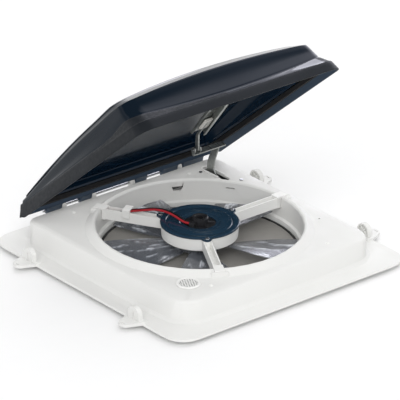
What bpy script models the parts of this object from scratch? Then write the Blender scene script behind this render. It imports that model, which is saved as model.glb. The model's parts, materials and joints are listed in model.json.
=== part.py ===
"""Roof exhaust fan with a hinged smoked lid: one object per piece, metres, +Z up.

The origin is the middle of the mounting flange's underside. X runs along the lid's hinge,
which is at +Y, and the lid is modelled shut and then opened about its hinge rod.
"""

import math

import bmesh
import bpy
from mathutils import Matrix, Vector

MM = 0.001
GAP = 0.3 * MM

# Base moulding
FLANGE_HALF = 222 * MM
FLANGE_CORNER = 34 * MM
FLANGE_THICK = 3.2 * MM
CURB_TOP_HALF = 182.4 * MM
CURB_FOOT_HALF = 190 * MM
CURB_CORNER = 32 * MM
CURB_REAR_CORNER = 18 * MM
DECK_REAR_REACH = 2 * MM
CURB_FOOT_ROUNDER = 20 * MM
WALL = 3 * MM
DECK_TOP = 37.3 * MM
THROAT_RADIUS = 154 * MM
THROAT_LOW_RADIUS = 150 * MM
LEDGE_TOP = 12 * MM
SCREEN_RADIUS = 149 * MM
LIP_TOP = 46 * MM
LIP_FOOT_RADIUS = 170 * MM

# Cover ears on the flange
EAR_Y = (-120 * MM, 126 * MM)
EAR_TIP = 248 * MM
EAR_FACE = 217 * MM
EAR_THICK = 7.5 * MM
EAR_HEIGHT = 24 * MM
EAR_WIDTH = 25 * MM
TONGUE_TOP = 4.4 * MM

# Motor, its bracket and the fan
SPOKE_ANGLES = (0, 120, 240)
SPOKE_TOP = 45 * MM
SPOKE_DEEP = 16 * MM
SPOKE_WIDE = 13 * MM
CUP_RADIUS = 58 * MM
CUP_TOP = 45.4 * MM
CUP_BOTTOM = 24 * MM
COVER_RADIUS = 59.2 * MM
COVER_TOP = 49 * MM
CAP_RADIUS = 12.5 * MM
CAP_TOP = 56 * MM
TERMINAL_TOP = 53 * MM
MOTOR_RADIUS = 41 * MM
SHAFT_RADIUS = 4 * MM
BLADES = 5
BLADE_TIP = 146 * MM
BLADE_ROOT = 36 * MM
BLADE_FIRST_ANGLE = -51
FAN_LOW = 7 * MM
FAN_HIGH = 21.5 * MM

# Lid, in its shut position
LID_OPEN = math.radians(40.3)
HINGE_Y = 197 * MM
HINGE_Z = 33 * MM
ROD_RADIUS = 2 * MM
KNUCKLE_RADIUS = 5 * MM
LID_HALF = 188 * MM
LID_RIM_Z = 29.3 * MM
LID_SIDE_REACH = 2.5 * MM
LID_SKIRT_LIFT = 4 * MM
LID_REAR_HEIGHT = 31 * MM
LID_FRONT_HEIGHT = 61.5 * MM
CROWN = 10.5 * MM
LID_KNUCKLES = ((-135, -108), (-72, -51), (34, 56), (87, 117))
BASE_KNUCKLES = (-103, -46, 29, 122)
BASE_KNUCKLE_WIDTH = 8 * MM

# Lift: the arm's shaft, the clevis pin at rest and the rail's track on the shut lid
ARM_Y = 117 * MM
ARM_Z = 20 * MM
ARM_X = 143 * MM
ARM_THICK = 2.4 * MM
CLEVIS_X = 86.5 * MM
CLEVIS_GAP = 9 * MM
PIN_Y = 112 * MM
PIN_Z = 101 * MM
TRACK_SLOPE = math.radians(12.44)
TRACK_START = 99 * MM
TRACK_START_HEIGHT = 0.3 * MM
ARM_RATIO = 1.75
GEAR_X = 156 * MM
GEAR_RADIUS = 11 * MM
WORM_RADIUS = 4.5 * MM

SURFACES = {
    "white_plastic": ((0.80, 0.80, 0.77), 0.42, 0.0),
    "white_trim": ((0.83, 0.83, 0.80), 0.38, 0.0),
    "smoked_lid": ((0.03, 0.035, 0.045), 0.12, 0.0),
    "fan_plastic": ((0.16, 0.17, 0.19), 0.10, 0.0),
    "navy_cover": ((0.015, 0.03, 0.06), 0.18, 0.0),
    "black_plastic": ((0.015, 0.015, 0.017), 0.35, 0.0),
    "foam": ((0.035, 0.028, 0.024), 0.9, 0.0),
    "zinc_steel": ((0.62, 0.64, 0.62), 0.35, 1.0),
    "bright_steel": ((0.75, 0.75, 0.76), 0.22, 1.0),
    "brass": ((0.72, 0.55, 0.25), 0.3, 1.0),
    "red_wire": ((0.55, 0.03, 0.04), 0.35, 0.0),
    "black_wire": ((0.02, 0.02, 0.02), 0.4, 0.0),
    "screen": ((0.07, 0.065, 0.06), 0.7, 0.0),
    "nylon": ((0.7, 0.69, 0.64), 0.5, 0.0),
}


def clear_scene():
    for obj in list(bpy.data.objects):
        bpy.data.objects.remove(obj, do_unlink=True)


def surface(name):
    """The Principled material of this name, made on first use."""
    found = bpy.data.materials.get(name)
    if found:
        return found
    colour, roughness, metallic = SURFACES[name]
    made = bpy.data.materials.new(name)
    made.use_nodes = True
    shader = made.node_tree.nodes["Principled BSDF"]
    shader.inputs["Base Color"].default_value = (*colour, 1)
    shader.inputs["Roughness"].default_value = roughness
    shader.inputs["Metallic"].default_value = metallic
    return made


def place(name, mesh, finish, parent=None):
    """An object of this mesh, whose points are in the frame of its parent."""
    obj = bpy.data.objects.new(name, mesh)
    bpy.context.scene.collection.objects.link(obj)
    if finish:
        mesh.materials.append(surface(finish))
    obj.parent = parent
    mesh.shade_smooth()
    mesh.set_sharp_from_angle(angle=math.radians(35))
    return obj


def mesh_of(name, points, faces):
    """A closed mesh of these points and faces, with its faces turned outwards."""
    mesh = bpy.data.meshes.new(name)
    mesh.from_pydata([tuple(p) for p in points], [], faces)
    work = bmesh.new()
    work.from_mesh(mesh)
    bmesh.ops.recalc_face_normals(work, faces=work.faces)
    if work.calc_volume(signed=True) < 0:
        bmesh.ops.reverse_faces(work, faces=work.faces)
    work.to_mesh(mesh)
    work.free()
    return mesh


def empty(name, location, turn=(0, 0, 0)):
    made = bpy.data.objects.new(name, None)
    bpy.context.scene.collection.objects.link(made)
    made.location = location
    made.rotation_euler = turn
    return made


def cutter(name, mesh, parent=None):
    obj = place(name, mesh, None, parent)
    obj.hide_render = True
    obj.display_type = "WIRE"
    return obj


def combine(obj, others, operation):
    """Boolean each of the others into obj."""
    for number, other in enumerate(others):
        modifier = obj.modifiers.new(f"{operation.lower()}_{number}", "BOOLEAN")
        modifier.operation = operation
        modifier.solver = "EXACT"
        modifier.object = other


def loop_grid(name, loops, closed=True):
    """A solid whose surface runs through these equal loops of points in turn, and back to the first."""
    count = len(loops[0])
    points = [p for loop in loops for p in loop]
    faces = []
    last = len(loops) if closed else len(loops) - 1
    for row in range(last):
        after = (row + 1) % len(loops)
        for i in range(count):
            j = (i + 1) % count
            faces.append((row * count + i, row * count + j, after * count + j, after * count + i))
    if not closed:
        faces.append(tuple(range(count)))
        faces.append(tuple(reversed(range((len(loops) - 1) * count, len(loops) * count))))
    return mesh_of(name, points, faces)


def ring_loop(radius, z, steps, centre=(0, 0)):
    return [
        (
            centre[0] + radius * math.cos(math.tau * i / steps),
            centre[1] + radius * math.sin(math.tau * i / steps),
            z,
        )
        for i in range(steps)
    ]


def turned_ring(name, profile, steps, centre=(0, 0)):
    """A ring turned about the vertical through centre, whose section is this closed profile of (r, z)."""
    return loop_grid(name, [ring_loop(r, z, steps, centre) for r, z in profile])


def turned_solid(name, profile, steps, centre=(0, 0)):
    """A solid turned about the vertical through centre, from its lowest to its highest (r, z)."""
    loops = [ring_loop(r, z, steps, centre) for r, z in profile]
    return loop_grid(name, loops, closed=False)


def prism(name, outline, low, high, axis="z"):
    """The outline, pushed along an axis. Along x its points are (y, z), along y they are (x, z)."""
    turn = {
        "z": lambda p, t: (p[0], p[1], t),
        "x": lambda p, t: (t, p[0], p[1]),
        "y": lambda p, t: (p[0], t, p[1]),
    }[axis]
    loops = [[turn(p, t) for p in outline] for t in (low, high)]
    return loop_grid(name, loops, closed=False)


def box(name, low, high):
    outline = [(low[0], low[1]), (high[0], low[1]), (high[0], high[1]), (low[0], high[1])]
    return prism(name, outline, low[2], high[2])


def arc(centre, radius, start, end, steps):
    """Points on an arc, with its angles in degrees."""
    return [
        (
            centre[0] + radius * math.cos(math.radians(start + (end - start) * i / steps)),
            centre[1] + radius * math.sin(math.radians(start + (end - start) * i / steps)),
        )
        for i in range(steps + 1)
    ]


def circle(centre, radius, steps):
    return arc(centre, radius, 0, 360 * (steps - 1) / steps, steps - 1)


def turn_mesh(mesh, angle):
    """Turn a mesh about the vertical through the origin, with the angle in degrees."""
    mesh.transform(Matrix.Rotation(math.radians(angle), 4, "Z"))
    return mesh


def rod(name, start, end, radius, steps=16):
    """A round bar between two points."""
    start = Vector(start)
    along = Vector(end) - start
    mesh = prism(name, circle((0, 0), radius, steps), 0, along.length)
    mesh.transform(Matrix.Translation(start) @ along.to_track_quat("Z", "Y").to_matrix().to_4x4())
    return mesh


def screw_mesh(name, head_radius, head_high, shank_radius, shank_long):
    """A pan-head screw standing on z = 0, with a recess in its head."""
    profile = [
        (shank_radius * 0.5, -shank_long),
        (shank_radius, GAP),
        (head_radius, GAP),
        (head_radius, GAP + head_high * 0.5),
        (head_radius * 0.7, GAP + head_high),
        (head_radius * 0.3, GAP + head_high),
        (head_radius * 0.22, GAP + head_high * 0.45),
    ]
    return turned_solid(name, profile, 10)


# Base -------------------------------------------------------------------------------------


def square_directions(side_steps=9):
    """Angles round the base: even steps along each side, closer ones round each corner."""
    corner_start = math.atan2(CURB_TOP_HALF - CURB_CORNER, CURB_TOP_HALF)
    corner_end = math.pi / 2 - corner_start
    corner_stops = (0, 0.2, 0.36, 0.44, 0.5, 0.56, 0.64, 0.8)
    angles = []
    for quarter in range(4):
        base = quarter * math.pi / 2 - corner_start
        angles += [base + 2 * corner_start * i / side_steps for i in range(side_steps)]
        base = quarter * math.pi / 2 + corner_start
        angles += [base + (corner_end - corner_start) * stop for stop in corner_stops]
    return angles


def on_rounded_square(angle, half, corner):
    """Where the ray at this angle meets a square of this half size with round corners."""
    quarter = math.pi / 2
    turned = (angle + quarter / 2) % quarter - quarter / 2
    x = half
    y = half * math.tan(turned)
    inner = half - corner
    if abs(y) > inner:
        across = abs(turned)
        dot = inner * (math.cos(across) + math.sin(across))
        reach = dot + math.sqrt(max(dot * dot - 2 * inner * inner + corner * corner, 0))
        x = reach * math.cos(turned)
        y = reach * math.sin(turned)
    reach = math.hypot(x, y)
    return reach * math.cos(angle), reach * math.sin(angle)


def smooth_step(value, low, high):
    share = min(max((value - low) / (high - low), 0), 1)
    return share * share * (3 - 2 * share)


def square_loop(half, corner, z, rear_corner=None, rear=0.0):
    """A level of the base. The rear corners may be tighter, and the rear edge further out."""
    loop = []
    for angle in square_directions():
        behind = math.sin(angle) > 0 and rear_corner is not None
        x, y = on_rounded_square(angle, half, rear_corner if behind else corner)
        loop.append((x, y + rear * smooth_step(y, 60 * MM, 170 * MM), z))
    return loop


def circle_loop(radius, z):
    return [(radius * math.cos(a), radius * math.sin(a), z) for a in square_directions()]


def base_shell():
    """Flange, curb, deck, lip and throat as one moulding, hollow underneath."""
    under = DECK_TOP - WALL
    lip_mid = (THROAT_RADIUS + LIP_FOOT_RADIUS) / 2
    foot_rise = FLANGE_THICK + 5 * MM
    half = CURB_TOP_HALF
    corner = CURB_CORNER
    reach = DECK_REAR_REACH
    rear_top = CURB_REAR_CORNER - 1 * MM
    foot_corner = corner + CURB_FOOT_ROUNDER
    foot_rear = CURB_REAR_CORNER + CURB_FOOT_ROUNDER + 4 * MM
    loops = [
        square_loop(FLANGE_HALF, FLANGE_CORNER, 0),
        square_loop(FLANGE_HALF, FLANGE_CORNER, FLANGE_THICK * 0.6),
        square_loop(FLANGE_HALF - 1.2 * MM, FLANGE_CORNER, FLANGE_THICK),
        square_loop(CURB_FOOT_HALF + 5 * MM, foot_corner + 5 * MM, FLANGE_THICK + 0.4 * MM),
        square_loop(CURB_FOOT_HALF, foot_corner, foot_rise, foot_rear),
        square_loop(half + 0.8 * MM, corner, DECK_TOP - 4 * MM, CURB_REAR_CORNER, reach),
        square_loop(half - 1 * MM, corner - 1 * MM, DECK_TOP - 1.2 * MM, rear_top, reach),
        square_loop(half - 4 * MM, corner - 4 * MM, DECK_TOP, rear_top - 2 * MM, reach),
        circle_loop(LIP_FOOT_RADIUS, DECK_TOP),
        circle_loop(LIP_FOOT_RADIUS - 3 * MM, DECK_TOP + 2.5 * MM),
        circle_loop(lip_mid, LIP_TOP - 2 * MM),
        circle_loop(lip_mid - 4 * MM, LIP_TOP),
        circle_loop(THROAT_RADIUS + 1.6 * MM, LIP_TOP - 0.8 * MM),
        circle_loop(THROAT_RADIUS, LIP_TOP - 3 * MM),
        circle_loop(THROAT_RADIUS, LEDGE_TOP),
        circle_loop(THROAT_LOW_RADIUS, LEDGE_TOP - 2 * MM),
        circle_loop(THROAT_LOW_RADIUS, 0),
        circle_loop(THROAT_LOW_RADIUS + WALL, 0),
        circle_loop(THROAT_LOW_RADIUS + WALL, LEDGE_TOP - 4 * MM),
        circle_loop(THROAT_RADIUS + WALL, LEDGE_TOP - 2 * MM),
        circle_loop(THROAT_RADIUS + WALL, under),
        square_loop(half - 4 * MM, corner - 4 * MM, under, rear_top - 2 * MM, reach),
        square_loop(half - WALL + 0.6 * MM, corner - 3 * MM, under - 2 * MM, rear_top, reach),
        square_loop(CURB_FOOT_HALF - WALL, foot_corner - WALL, foot_rise - 1 * MM, foot_rear - WALL),
        square_loop(CURB_FOOT_HALF + 2 * MM, foot_corner + 2 * MM, 0),
    ]
    return loop_grid("base_shell", loops)


def ear_mesh(side, y):
    """A cover ear: a half-round lug, hollow towards the curb, over a tongue past the flange."""
    half = EAR_WIDTH / 2
    crown = EAR_HEIGHT - half
    lug = [(-half, 1.5 * MM), (half, 1.5 * MM), *arc((0, crown), half, 0, 180, 12)]
    low = EAR_TIP - 11 * MM
    edge = FLANGE_HALF - 1 * MM
    back = EAR_FACE - 6 * MM
    wide = half + 6 * MM
    tongue = [(back, -wide), (edge, -wide), *arc((low, 0), 11 * MM, -80, 80, 8)]
    tongue += [(edge, wide), (back, wide)]
    meshes = [
        prism("ear_lug", lug, EAR_FACE, EAR_FACE + EAR_THICK, "x"),
        prism("ear_tongue", tongue, 0.0, TONGUE_TOP),
    ]
    room = half - 2.2 * MM
    pocket = [(-room, TONGUE_TOP + 1 * MM), (room, TONGUE_TOP + 1 * MM), *arc((0, crown), room, 0, 180, 12)]
    front = EAR_FACE + EAR_THICK
    groove = box("ear_groove", (front - 1.6 * MM, -1 * MM, 5.2 * MM), (EAR_TIP, 1 * MM, 17 * MM))
    cuts = [
        prism("ear_pocket", pocket, EAR_FACE - 2 * MM, EAR_FACE + EAR_THICK - 2.6 * MM, "x"),
        groove,
        box("ear_slot", (EAR_TIP - 5 * MM, -4 * MM, 2.4 * MM), (EAR_TIP - 3 * MM, 4 * MM, 6 * MM)),
    ]
    ribs = []
    for lean in (-48, 48):
        rib = box("ear_rib", (EAR_FACE + 1 * MM, -0.7 * MM, -11 * MM), (front - 2 * MM, 0.7 * MM, 11 * MM))
        rib.transform(Matrix.Rotation(math.radians(lean), 4, "X"))
        rib.transform(Matrix.Translation((0, 0, crown + 1.5 * MM)))
        ribs.append(rib)
    for mesh in (*meshes, *cuts, *ribs):
        mesh.transform(Matrix.Diagonal((side, 1, 1, 1)))
        mesh.transform(Matrix.Translation((0, y, 0)))
        if side < 0:
            mesh.flip_normals()
    return meshes, cuts, ribs


def seat_mesh(angle):
    """A block behind the lip, which carries the screw of a spoke's foot."""
    half = 13 * MM
    section = [
        (-half, DECK_TOP - 1 * MM),
        (half, DECK_TOP - 1 * MM),
        (half, LIP_TOP - 3 * MM),
        (half - 3 * MM, LIP_TOP - 0.7 * MM),
        (-half + 3 * MM, LIP_TOP - 0.7 * MM),
        (-half, LIP_TOP - 3 * MM),
    ]
    mesh = prism("seat", section, THROAT_RADIUS + 3 * MM, LIP_FOOT_RADIUS - 1.4 * MM, "x")
    return turn_mesh(mesh, angle)


def seat_room(angle):
    """The notch across the lip that a spoke's foot lies in."""
    half = SPOKE_WIDE / 2 + 1 * MM + GAP
    outer = FOOT_END + GAP
    low = (THROAT_RADIUS - 3 * MM, -half, FOOT_LOW - GAP)
    return turn_mesh(box("seat_room", low, (outer, half, LIP_TOP + 5 * MM)), angle)


def hinge_lug(x):
    """A lug on the curb's rear wall that reaches under the lid's skirt to the hinge rod."""
    outline = [(182 * MM, 14 * MM), (191 * MM, 12 * MM)]
    outline += arc((HINGE_Y, HINGE_Z), KNUCKLE_RADIUS, -40, 190, 12)
    outline += [(190 * MM, 28 * MM), (183 * MM, 28 * MM)]
    half = BASE_KNUCKLE_WIDTH / 2
    return prism("base_lug", outline, x - half, x + half, "x")


def make_base():
    base = place("base_housing", base_shell(), "white_plastic")
    added = []
    removed = []
    ribs = []
    for side in (-1, 1):
        for y in EAR_Y:
            lugs, hollows, webs = ear_mesh(side, y)
            added += lugs
            removed += hollows
            ribs += webs
    added += [seat_mesh(angle) for angle in SPOKE_ANGLES]
    added += [hinge_lug(x * MM) for x in BASE_KNUCKLES]
    for x, y in deck_screw_places():
        added.append(turned_solid("boss", [(4 * MM, 20 * MM), (4 * MM, DECK_TOP - 1 * MM)], 12, (x, y)))
    combine(base, [cutter(f"add_{i}", m) for i, m in enumerate(added)], "UNION")

    rod_hole = rod("rod_hole", (-160 * MM, HINGE_Y, HINGE_Z), (160 * MM, HINGE_Y, HINGE_Z), ROD_RADIUS + GAP)
    removed.append(rod_hole)
    removed.append(arm_slot_mesh(GAP, DECK_TOP - 8 * MM, DECK_TOP + 8 * MM))
    removed.append(turned_solid("sensor_hole", [(15.5 * MM, 30 * MM), (15.5 * MM, 42 * MM)], 24, SENSOR))
    removed += wall_slots()
    for x, y in deck_screw_places():
        removed.append(turned_solid("pilot", [(1.9 * MM, 24 * MM), (1.9 * MM, 50 * MM)], 12, (x, y)))
    for angle in SPOKE_ANGLES:
        hole = turned_solid("pilot", [(1.9 * MM, 30 * MM), (1.9 * MM, 52 * MM)], 12, (FOOT_SCREW_RADIUS, 0))
        removed += [turn_mesh(hole, angle), seat_room(angle)]
    removed.append(turned_solid("spare_hole", [(2 * MM, 30 * MM), (2 * MM, 50 * MM)], 12, SPARE_HOLE))
    for x, y in gearbox_screw_places():
        removed.append(turned_solid("pilot", [(2.0 * MM, 30 * MM), (2.0 * MM, 50 * MM)], 12, (x, y)))
    combine(base, [cutter(f"cut_{i}", m) for i, m in enumerate(removed)], "DIFFERENCE")
    combine(base, [cutter(f"rib_{i}", m) for i, m in enumerate(ribs)], "UNION")
    return base


SENSOR = (-133.5 * MM, -133.5 * MM)
FOOT_SCREW_RADIUS = 161.5 * MM
FOOT_END = 166 * MM
FOOT_LOW = LIP_TOP - 2.4 * MM
FOOT_HIGH = LIP_TOP + 0.5 * MM
SPARE_HOLE = (158.5 * MM, -87 * MM)
SLOT_LOW_Y = 103 * MM
SLOT_HIGH_Y = 160 * MM
SLOT_HALF = 5.5 * MM
BEZEL_LOW_Y = 119 * MM


def deck_screw_places():
    return [(x * 112 * MM, y * 158 * MM) for x in (-1, 1) for y in (-1, 1)]


def gearbox_screw_places():
    return [(158 * MM, 90 * MM), (128 * MM, 150 * MM)]


def arm_slot_mesh(grow, low, high):
    """The slot in the deck that the lift arm swings through."""
    width = SLOT_HALF + grow
    outline = arc((ARM_X, SLOT_HIGH_Y - SLOT_HALF), width, 0, 180, 8)
    outline += arc((ARM_X, SLOT_LOW_Y + SLOT_HALF), width, 180, 360, 8)
    return prism("arm_slot", outline, low, high)


def wall_slots():
    """Two snap slots through the throat wall."""
    wide = [(-10 * MM, 35 * MM), (-5.5 * MM, 28 * MM), (5 * MM, 28 * MM), (8 * MM, 35 * MM)]
    thin = [(-7 * MM, 33.2 * MM), (7 * MM, 33.2 * MM), (7 * MM, 35.2 * MM), (-7 * MM, 35.2 * MM)]
    made = []
    for outline, angle in ((wide, 63), (thin, 32.5)):
        mesh = prism("wall_slot", outline, THROAT_RADIUS - 3 * MM, THROAT_RADIUS + 6 * MM, "x")
        made.append(turn_mesh(mesh, angle))
    return made


def make_deck_fittings():
    ring = [
        (15.2 * MM, DECK_TOP - 5 * MM),
        (15.2 * MM, DECK_TOP + GAP),
        (18 * MM, DECK_TOP + GAP),
        (18 * MM, DECK_TOP + 1.2 * MM),
        (16.8 * MM, DECK_TOP + 2.4 * MM),
        (14.5 * MM, DECK_TOP + 2.4 * MM),
    ]
    face = DECK_TOP + 1.6 * MM
    loops = [(0.02 * MM, DECK_TOP - 5 * MM), *ring, (14.3 * MM, face), (0.02 * MM, face)]
    place("sensor_grille", turned_solid("sensor_grille", loops, 24, SENSOR), "white_trim")

    far = (ARM_X, SLOT_HIGH_Y - SLOT_HALF)
    wide = SLOT_HALF + 3 * MM
    near = SLOT_HALF + GAP
    outline = [(ARM_X + wide, BEZEL_LOW_Y), *arc(far, wide, 0, 180, 8), (ARM_X - wide, BEZEL_LOW_Y)]
    outline += [(ARM_X - near, BEZEL_LOW_Y), *arc(far, near, 180, 0, 8), (ARM_X + near, BEZEL_LOW_Y)]
    place("arm_slot_bezel", prism("bezel", outline, DECK_TOP + GAP, DECK_TOP + 1.8 * MM), "white_trim")

    mesh = screw_mesh("deck_screw", 3 * MM, 1.4 * MM, 1.6 * MM, 11 * MM)
    for number, (x, y) in enumerate(deck_screw_places(), 1):
        screw = place(f"deck_screw_{number}", mesh.copy(), "bright_steel")
        screw.location = (x, y, DECK_TOP)


# Motor and fan ----------------------------------------------------------------------------


def spoke_mesh(angle):
    """A spoke of channel section from the motor cup to its foot on the lip."""
    half = SPOKE_WIDE / 2
    low = SPOKE_TOP - SPOKE_DEEP
    section = [
        (-half, low),
        (half, low),
        (half, SPOKE_TOP),
        (half - 1.8 * MM, SPOKE_TOP),
        (half - 2 * MM, SPOKE_TOP - 12 * MM),
        (-half + 2 * MM, SPOKE_TOP - 12 * MM),
        (-half + 1.8 * MM, SPOKE_TOP),
        (-half, SPOKE_TOP),
    ]
    mesh = prism("spoke", section, CUP_RADIUS - 1.2 * MM, THROAT_RADIUS - 3 * MM, "x")
    return turn_mesh(mesh, angle)


def foot_mesh(angle):
    """The spoke's foot, which lies in the lip's notch, and the drop down the throat's wall."""
    half = SPOKE_WIDE / 2 + 1 * MM
    plate = box("foot", (THROAT_RADIUS - 8 * MM, -half, FOOT_LOW), (FOOT_END, half, FOOT_HIGH))
    drop_low = (THROAT_RADIUS - 7 * MM, -half + 0.5 * MM, SPOKE_TOP - SPOKE_DEEP - 0.6 * MM)
    drop = box("drop", drop_low, (THROAT_RADIUS - 0.9 * MM, half - 0.5 * MM, FOOT_HIGH - 0.5 * MM))
    return [turn_mesh(plate, angle), turn_mesh(drop, angle)]


def make_bracket():
    wall = 2.4 * MM
    cup = turned_ring(
        "cup",
        [
            (CUP_RADIUS, CUP_TOP),
            (CUP_RADIUS - wall, CUP_TOP),
            (CUP_RADIUS - wall, CUP_BOTTOM + wall),
            (14 * MM, CUP_BOTTOM + wall),
            (14 * MM, CUP_BOTTOM),
            (CUP_RADIUS - 5 * MM, CUP_BOTTOM),
            (CUP_RADIUS - 1 * MM, CUP_BOTTOM + 3 * MM),
        ],
        42,
    )
    bracket = place("motor_bracket", cup, "white_trim")
    added = []
    removed = []
    for angle in SPOKE_ANGLES:
        added.append(spoke_mesh(angle))
        added += foot_mesh(angle)
        lug_profile = [(5.5 * MM, CUP_TOP - 14 * MM), (5.5 * MM, CUP_TOP)]
        lug = turned_solid("lug", lug_profile, 16, (COVER_LUG_RADIUS, 0))
        added.append(turn_mesh(lug, angle))
        foot_hole = [(1.9 * MM, 30 * MM), (1.9 * MM, FOOT_HIGH - 0.8 * MM)]
        hole = turned_solid("pilot", foot_hole, 12, (FOOT_SCREW_RADIUS, 0))
        removed.append(turn_mesh(hole, angle))
        lug_hole = [(1.7 * MM, CUP_TOP - 11 * MM), (1.7 * MM, 60 * MM)]
        hole = turned_solid("pilot", lug_hole, 12, (COVER_LUG_RADIUS, 0))
        removed.append(turn_mesh(hole, angle))
    combine(bracket, [cutter(f"bracket_add_{i}", m) for i, m in enumerate(added)], "UNION")
    combine(bracket, [cutter(f"bracket_cut_{i}", m) for i, m in enumerate(removed)], "DIFFERENCE")

    mesh = screw_mesh("foot_screw", 3.6 * MM, 1.8 * MM, 1.6 * MM, 10 * MM)
    for number, angle in enumerate(SPOKE_ANGLES, 1):
        screw = place(f"foot_screw_{number}", mesh.copy(), "bright_steel")
        turn = math.radians(angle)
        screw.location = (
            FOOT_SCREW_RADIUS * math.cos(turn),
            FOOT_SCREW_RADIUS * math.sin(turn),
            DECK_TOP - WALL,
        )
        screw.rotation_euler = (math.pi, 0, 0)


COVER_LUG_RADIUS = 62.5 * MM


def make_motor_cover():
    low = CUP_TOP + GAP
    high = COVER_TOP
    profile = [
        (24 * MM, low),
        (COVER_RADIUS, low),
        (COVER_RADIUS, high - 1.2 * MM),
        (COVER_RADIUS - 1.2 * MM, high),
        (51 * MM, high),
        (50 * MM, high - 1.6 * MM),
        (48.5 * MM, high - 1.6 * MM),
        (47.5 * MM, high - 0.6 * MM),
        (31 * MM, high - 0.6 * MM),
        (29 * MM, high - 2.2 * MM),
        (24 * MM, high - 2.2 * MM),
    ]
    cover = place("motor_cover", turned_ring("motor_cover", profile, 42), "navy_cover")
    added = []
    removed = []
    for angle in SPOKE_ANGLES:
        tab = [(COVER_RADIUS - 5 * MM, -12 * MM), *arc((COVER_LUG_RADIUS, 0), 5.5 * MM, -62, 62, 8)]
        tab.append((COVER_RADIUS - 5 * MM, 12 * MM))
        added.append(turn_mesh(prism("tab", tab, low, high - 0.8 * MM), angle))
        hole = turned_solid("pilot", [(1.9 * MM, 40 * MM), (1.9 * MM, 60 * MM)], 12, (COVER_LUG_RADIUS, 0))
        removed.append(turn_mesh(hole, angle))
    combine(cover, [cutter(f"cover_add_{i}", m) for i, m in enumerate(added)], "UNION")
    combine(cover, [cutter(f"cover_cut_{i}", m) for i, m in enumerate(removed)], "DIFFERENCE")

    mesh = screw_mesh("cover_screw", 3 * MM, 1.6 * MM, 1.4 * MM, 9 * MM)
    for number, angle in enumerate(SPOKE_ANGLES, 1):
        screw = place(f"cover_screw_{number}", mesh.copy(), "bright_steel")
        turn = math.radians(angle)
        screw.location = (
            COVER_LUG_RADIUS * math.cos(turn),
            COVER_LUG_RADIUS * math.sin(turn),
            high - 0.8 * MM,
        )


def make_motor():
    can = [
        (SHAFT_RADIUS + 3.6 * MM, CUP_BOTTOM + 2.7 * MM),
        (MOTOR_RADIUS, CUP_BOTTOM + 2.7 * MM),
        (MOTOR_RADIUS, CUP_TOP - 2.2 * MM),
        (22 * MM, CUP_TOP - 2.2 * MM),
        (22 * MM, CUP_TOP - 1 * MM),
        (SHAFT_RADIUS + 3.6 * MM, CUP_TOP - 1 * MM),
    ]
    place("motor_can", turned_ring("motor_can", can, 32), "zinc_steel")
    for name, low in (("lower_bearing", CUP_BOTTOM + 3 * MM), ("upper_bearing", CUP_TOP - 7 * MM)):
        outer = SHAFT_RADIUS + 3.3 * MM
        inner = SHAFT_RADIUS + GAP
        ring = [(inner, low), (outer, low), (outer, low + 5 * MM), (inner, low + 5 * MM)]
        place(name, turned_ring(name, ring, 16), "bright_steel")

    shaft = [
        (SHAFT_RADIUS - 0.6 * MM, FAN_LOW - 4.6 * MM),
        (SHAFT_RADIUS, FAN_LOW - 4 * MM),
        (SHAFT_RADIUS, CUP_TOP - 0.5 * MM),
        (SHAFT_RADIUS - 0.6 * MM, CUP_TOP + 0.1 * MM),
    ]
    place("motor_shaft", turned_solid("motor_shaft", shaft, 16), "bright_steel")

    low = CUP_TOP - 0.7 * MM
    cap = [
        (SHAFT_RADIUS + 1 * MM, low),
        (23.4 * MM, low),
        (23.4 * MM, low + 1.2 * MM),
        (CAP_RADIUS, low + 1.2 * MM),
        (CAP_RADIUS, CAP_TOP - 1.2 * MM),
        (CAP_RADIUS - 1.2 * MM, CAP_TOP),
        (8.6 * MM, CAP_TOP),
        (7.8 * MM, CAP_TOP - 1.8 * MM),
        (SHAFT_RADIUS + 1 * MM, CAP_TOP - 1.8 * MM),
    ]
    brush_cap = place("brush_cap", turned_ring("brush_cap", cap, 24), "black_plastic")
    fins = []
    for i in range(6):
        fin = box("fin", (11 * MM, -1.1 * MM, low + 0.5 * MM), (22 * MM, 1.1 * MM, low + 3.4 * MM))
        fins.append(cutter(f"fin_{i}", turn_mesh(fin, 60 * i + 20)))
    terminal = box("terminal", (1.5 * MM, 10.8 * MM, low + 0.7 * MM), (9.4 * MM, 21.2 * MM, TERMINAL_TOP))
    fins.append(cutter("terminal", turn_mesh(terminal, 120)))
    combine(brush_cap, fins, "UNION")


def blade_mesh(angle):
    """A fan blade: broad and pitched, with its tip swept round."""
    rows = 7
    columns = 4
    thick = 1.5 * MM
    middle = (FAN_LOW + FAN_HIGH) / 2
    loops = []
    for row in range(rows):
        share = row / (rows - 1)
        radius = BLADE_ROOT - 2 * MM + (BLADE_TIP - BLADE_ROOT + 2 * MM) * share
        spread = math.radians(44 - 5 * share + 3 * math.sin(math.pi * share))
        rise = (FAN_HIGH - FAN_LOW - thick) * (0.92 - 0.12 * share) / 2
        loop = []
        for face in (1, -1):
            for column in range(columns + 1):
                along = -1 + 2 * column / columns
                along *= face
                turn = math.radians(angle) + spread / 2 * along
                camber = 1.6 * MM * (1 - along * along)
                z = middle - rise * along + camber + face * thick / 2
                loop.append((radius * math.cos(turn), radius * math.sin(turn), z))
        loops.append(loop)
    return loop_grid("blade", loops, closed=False)


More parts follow.
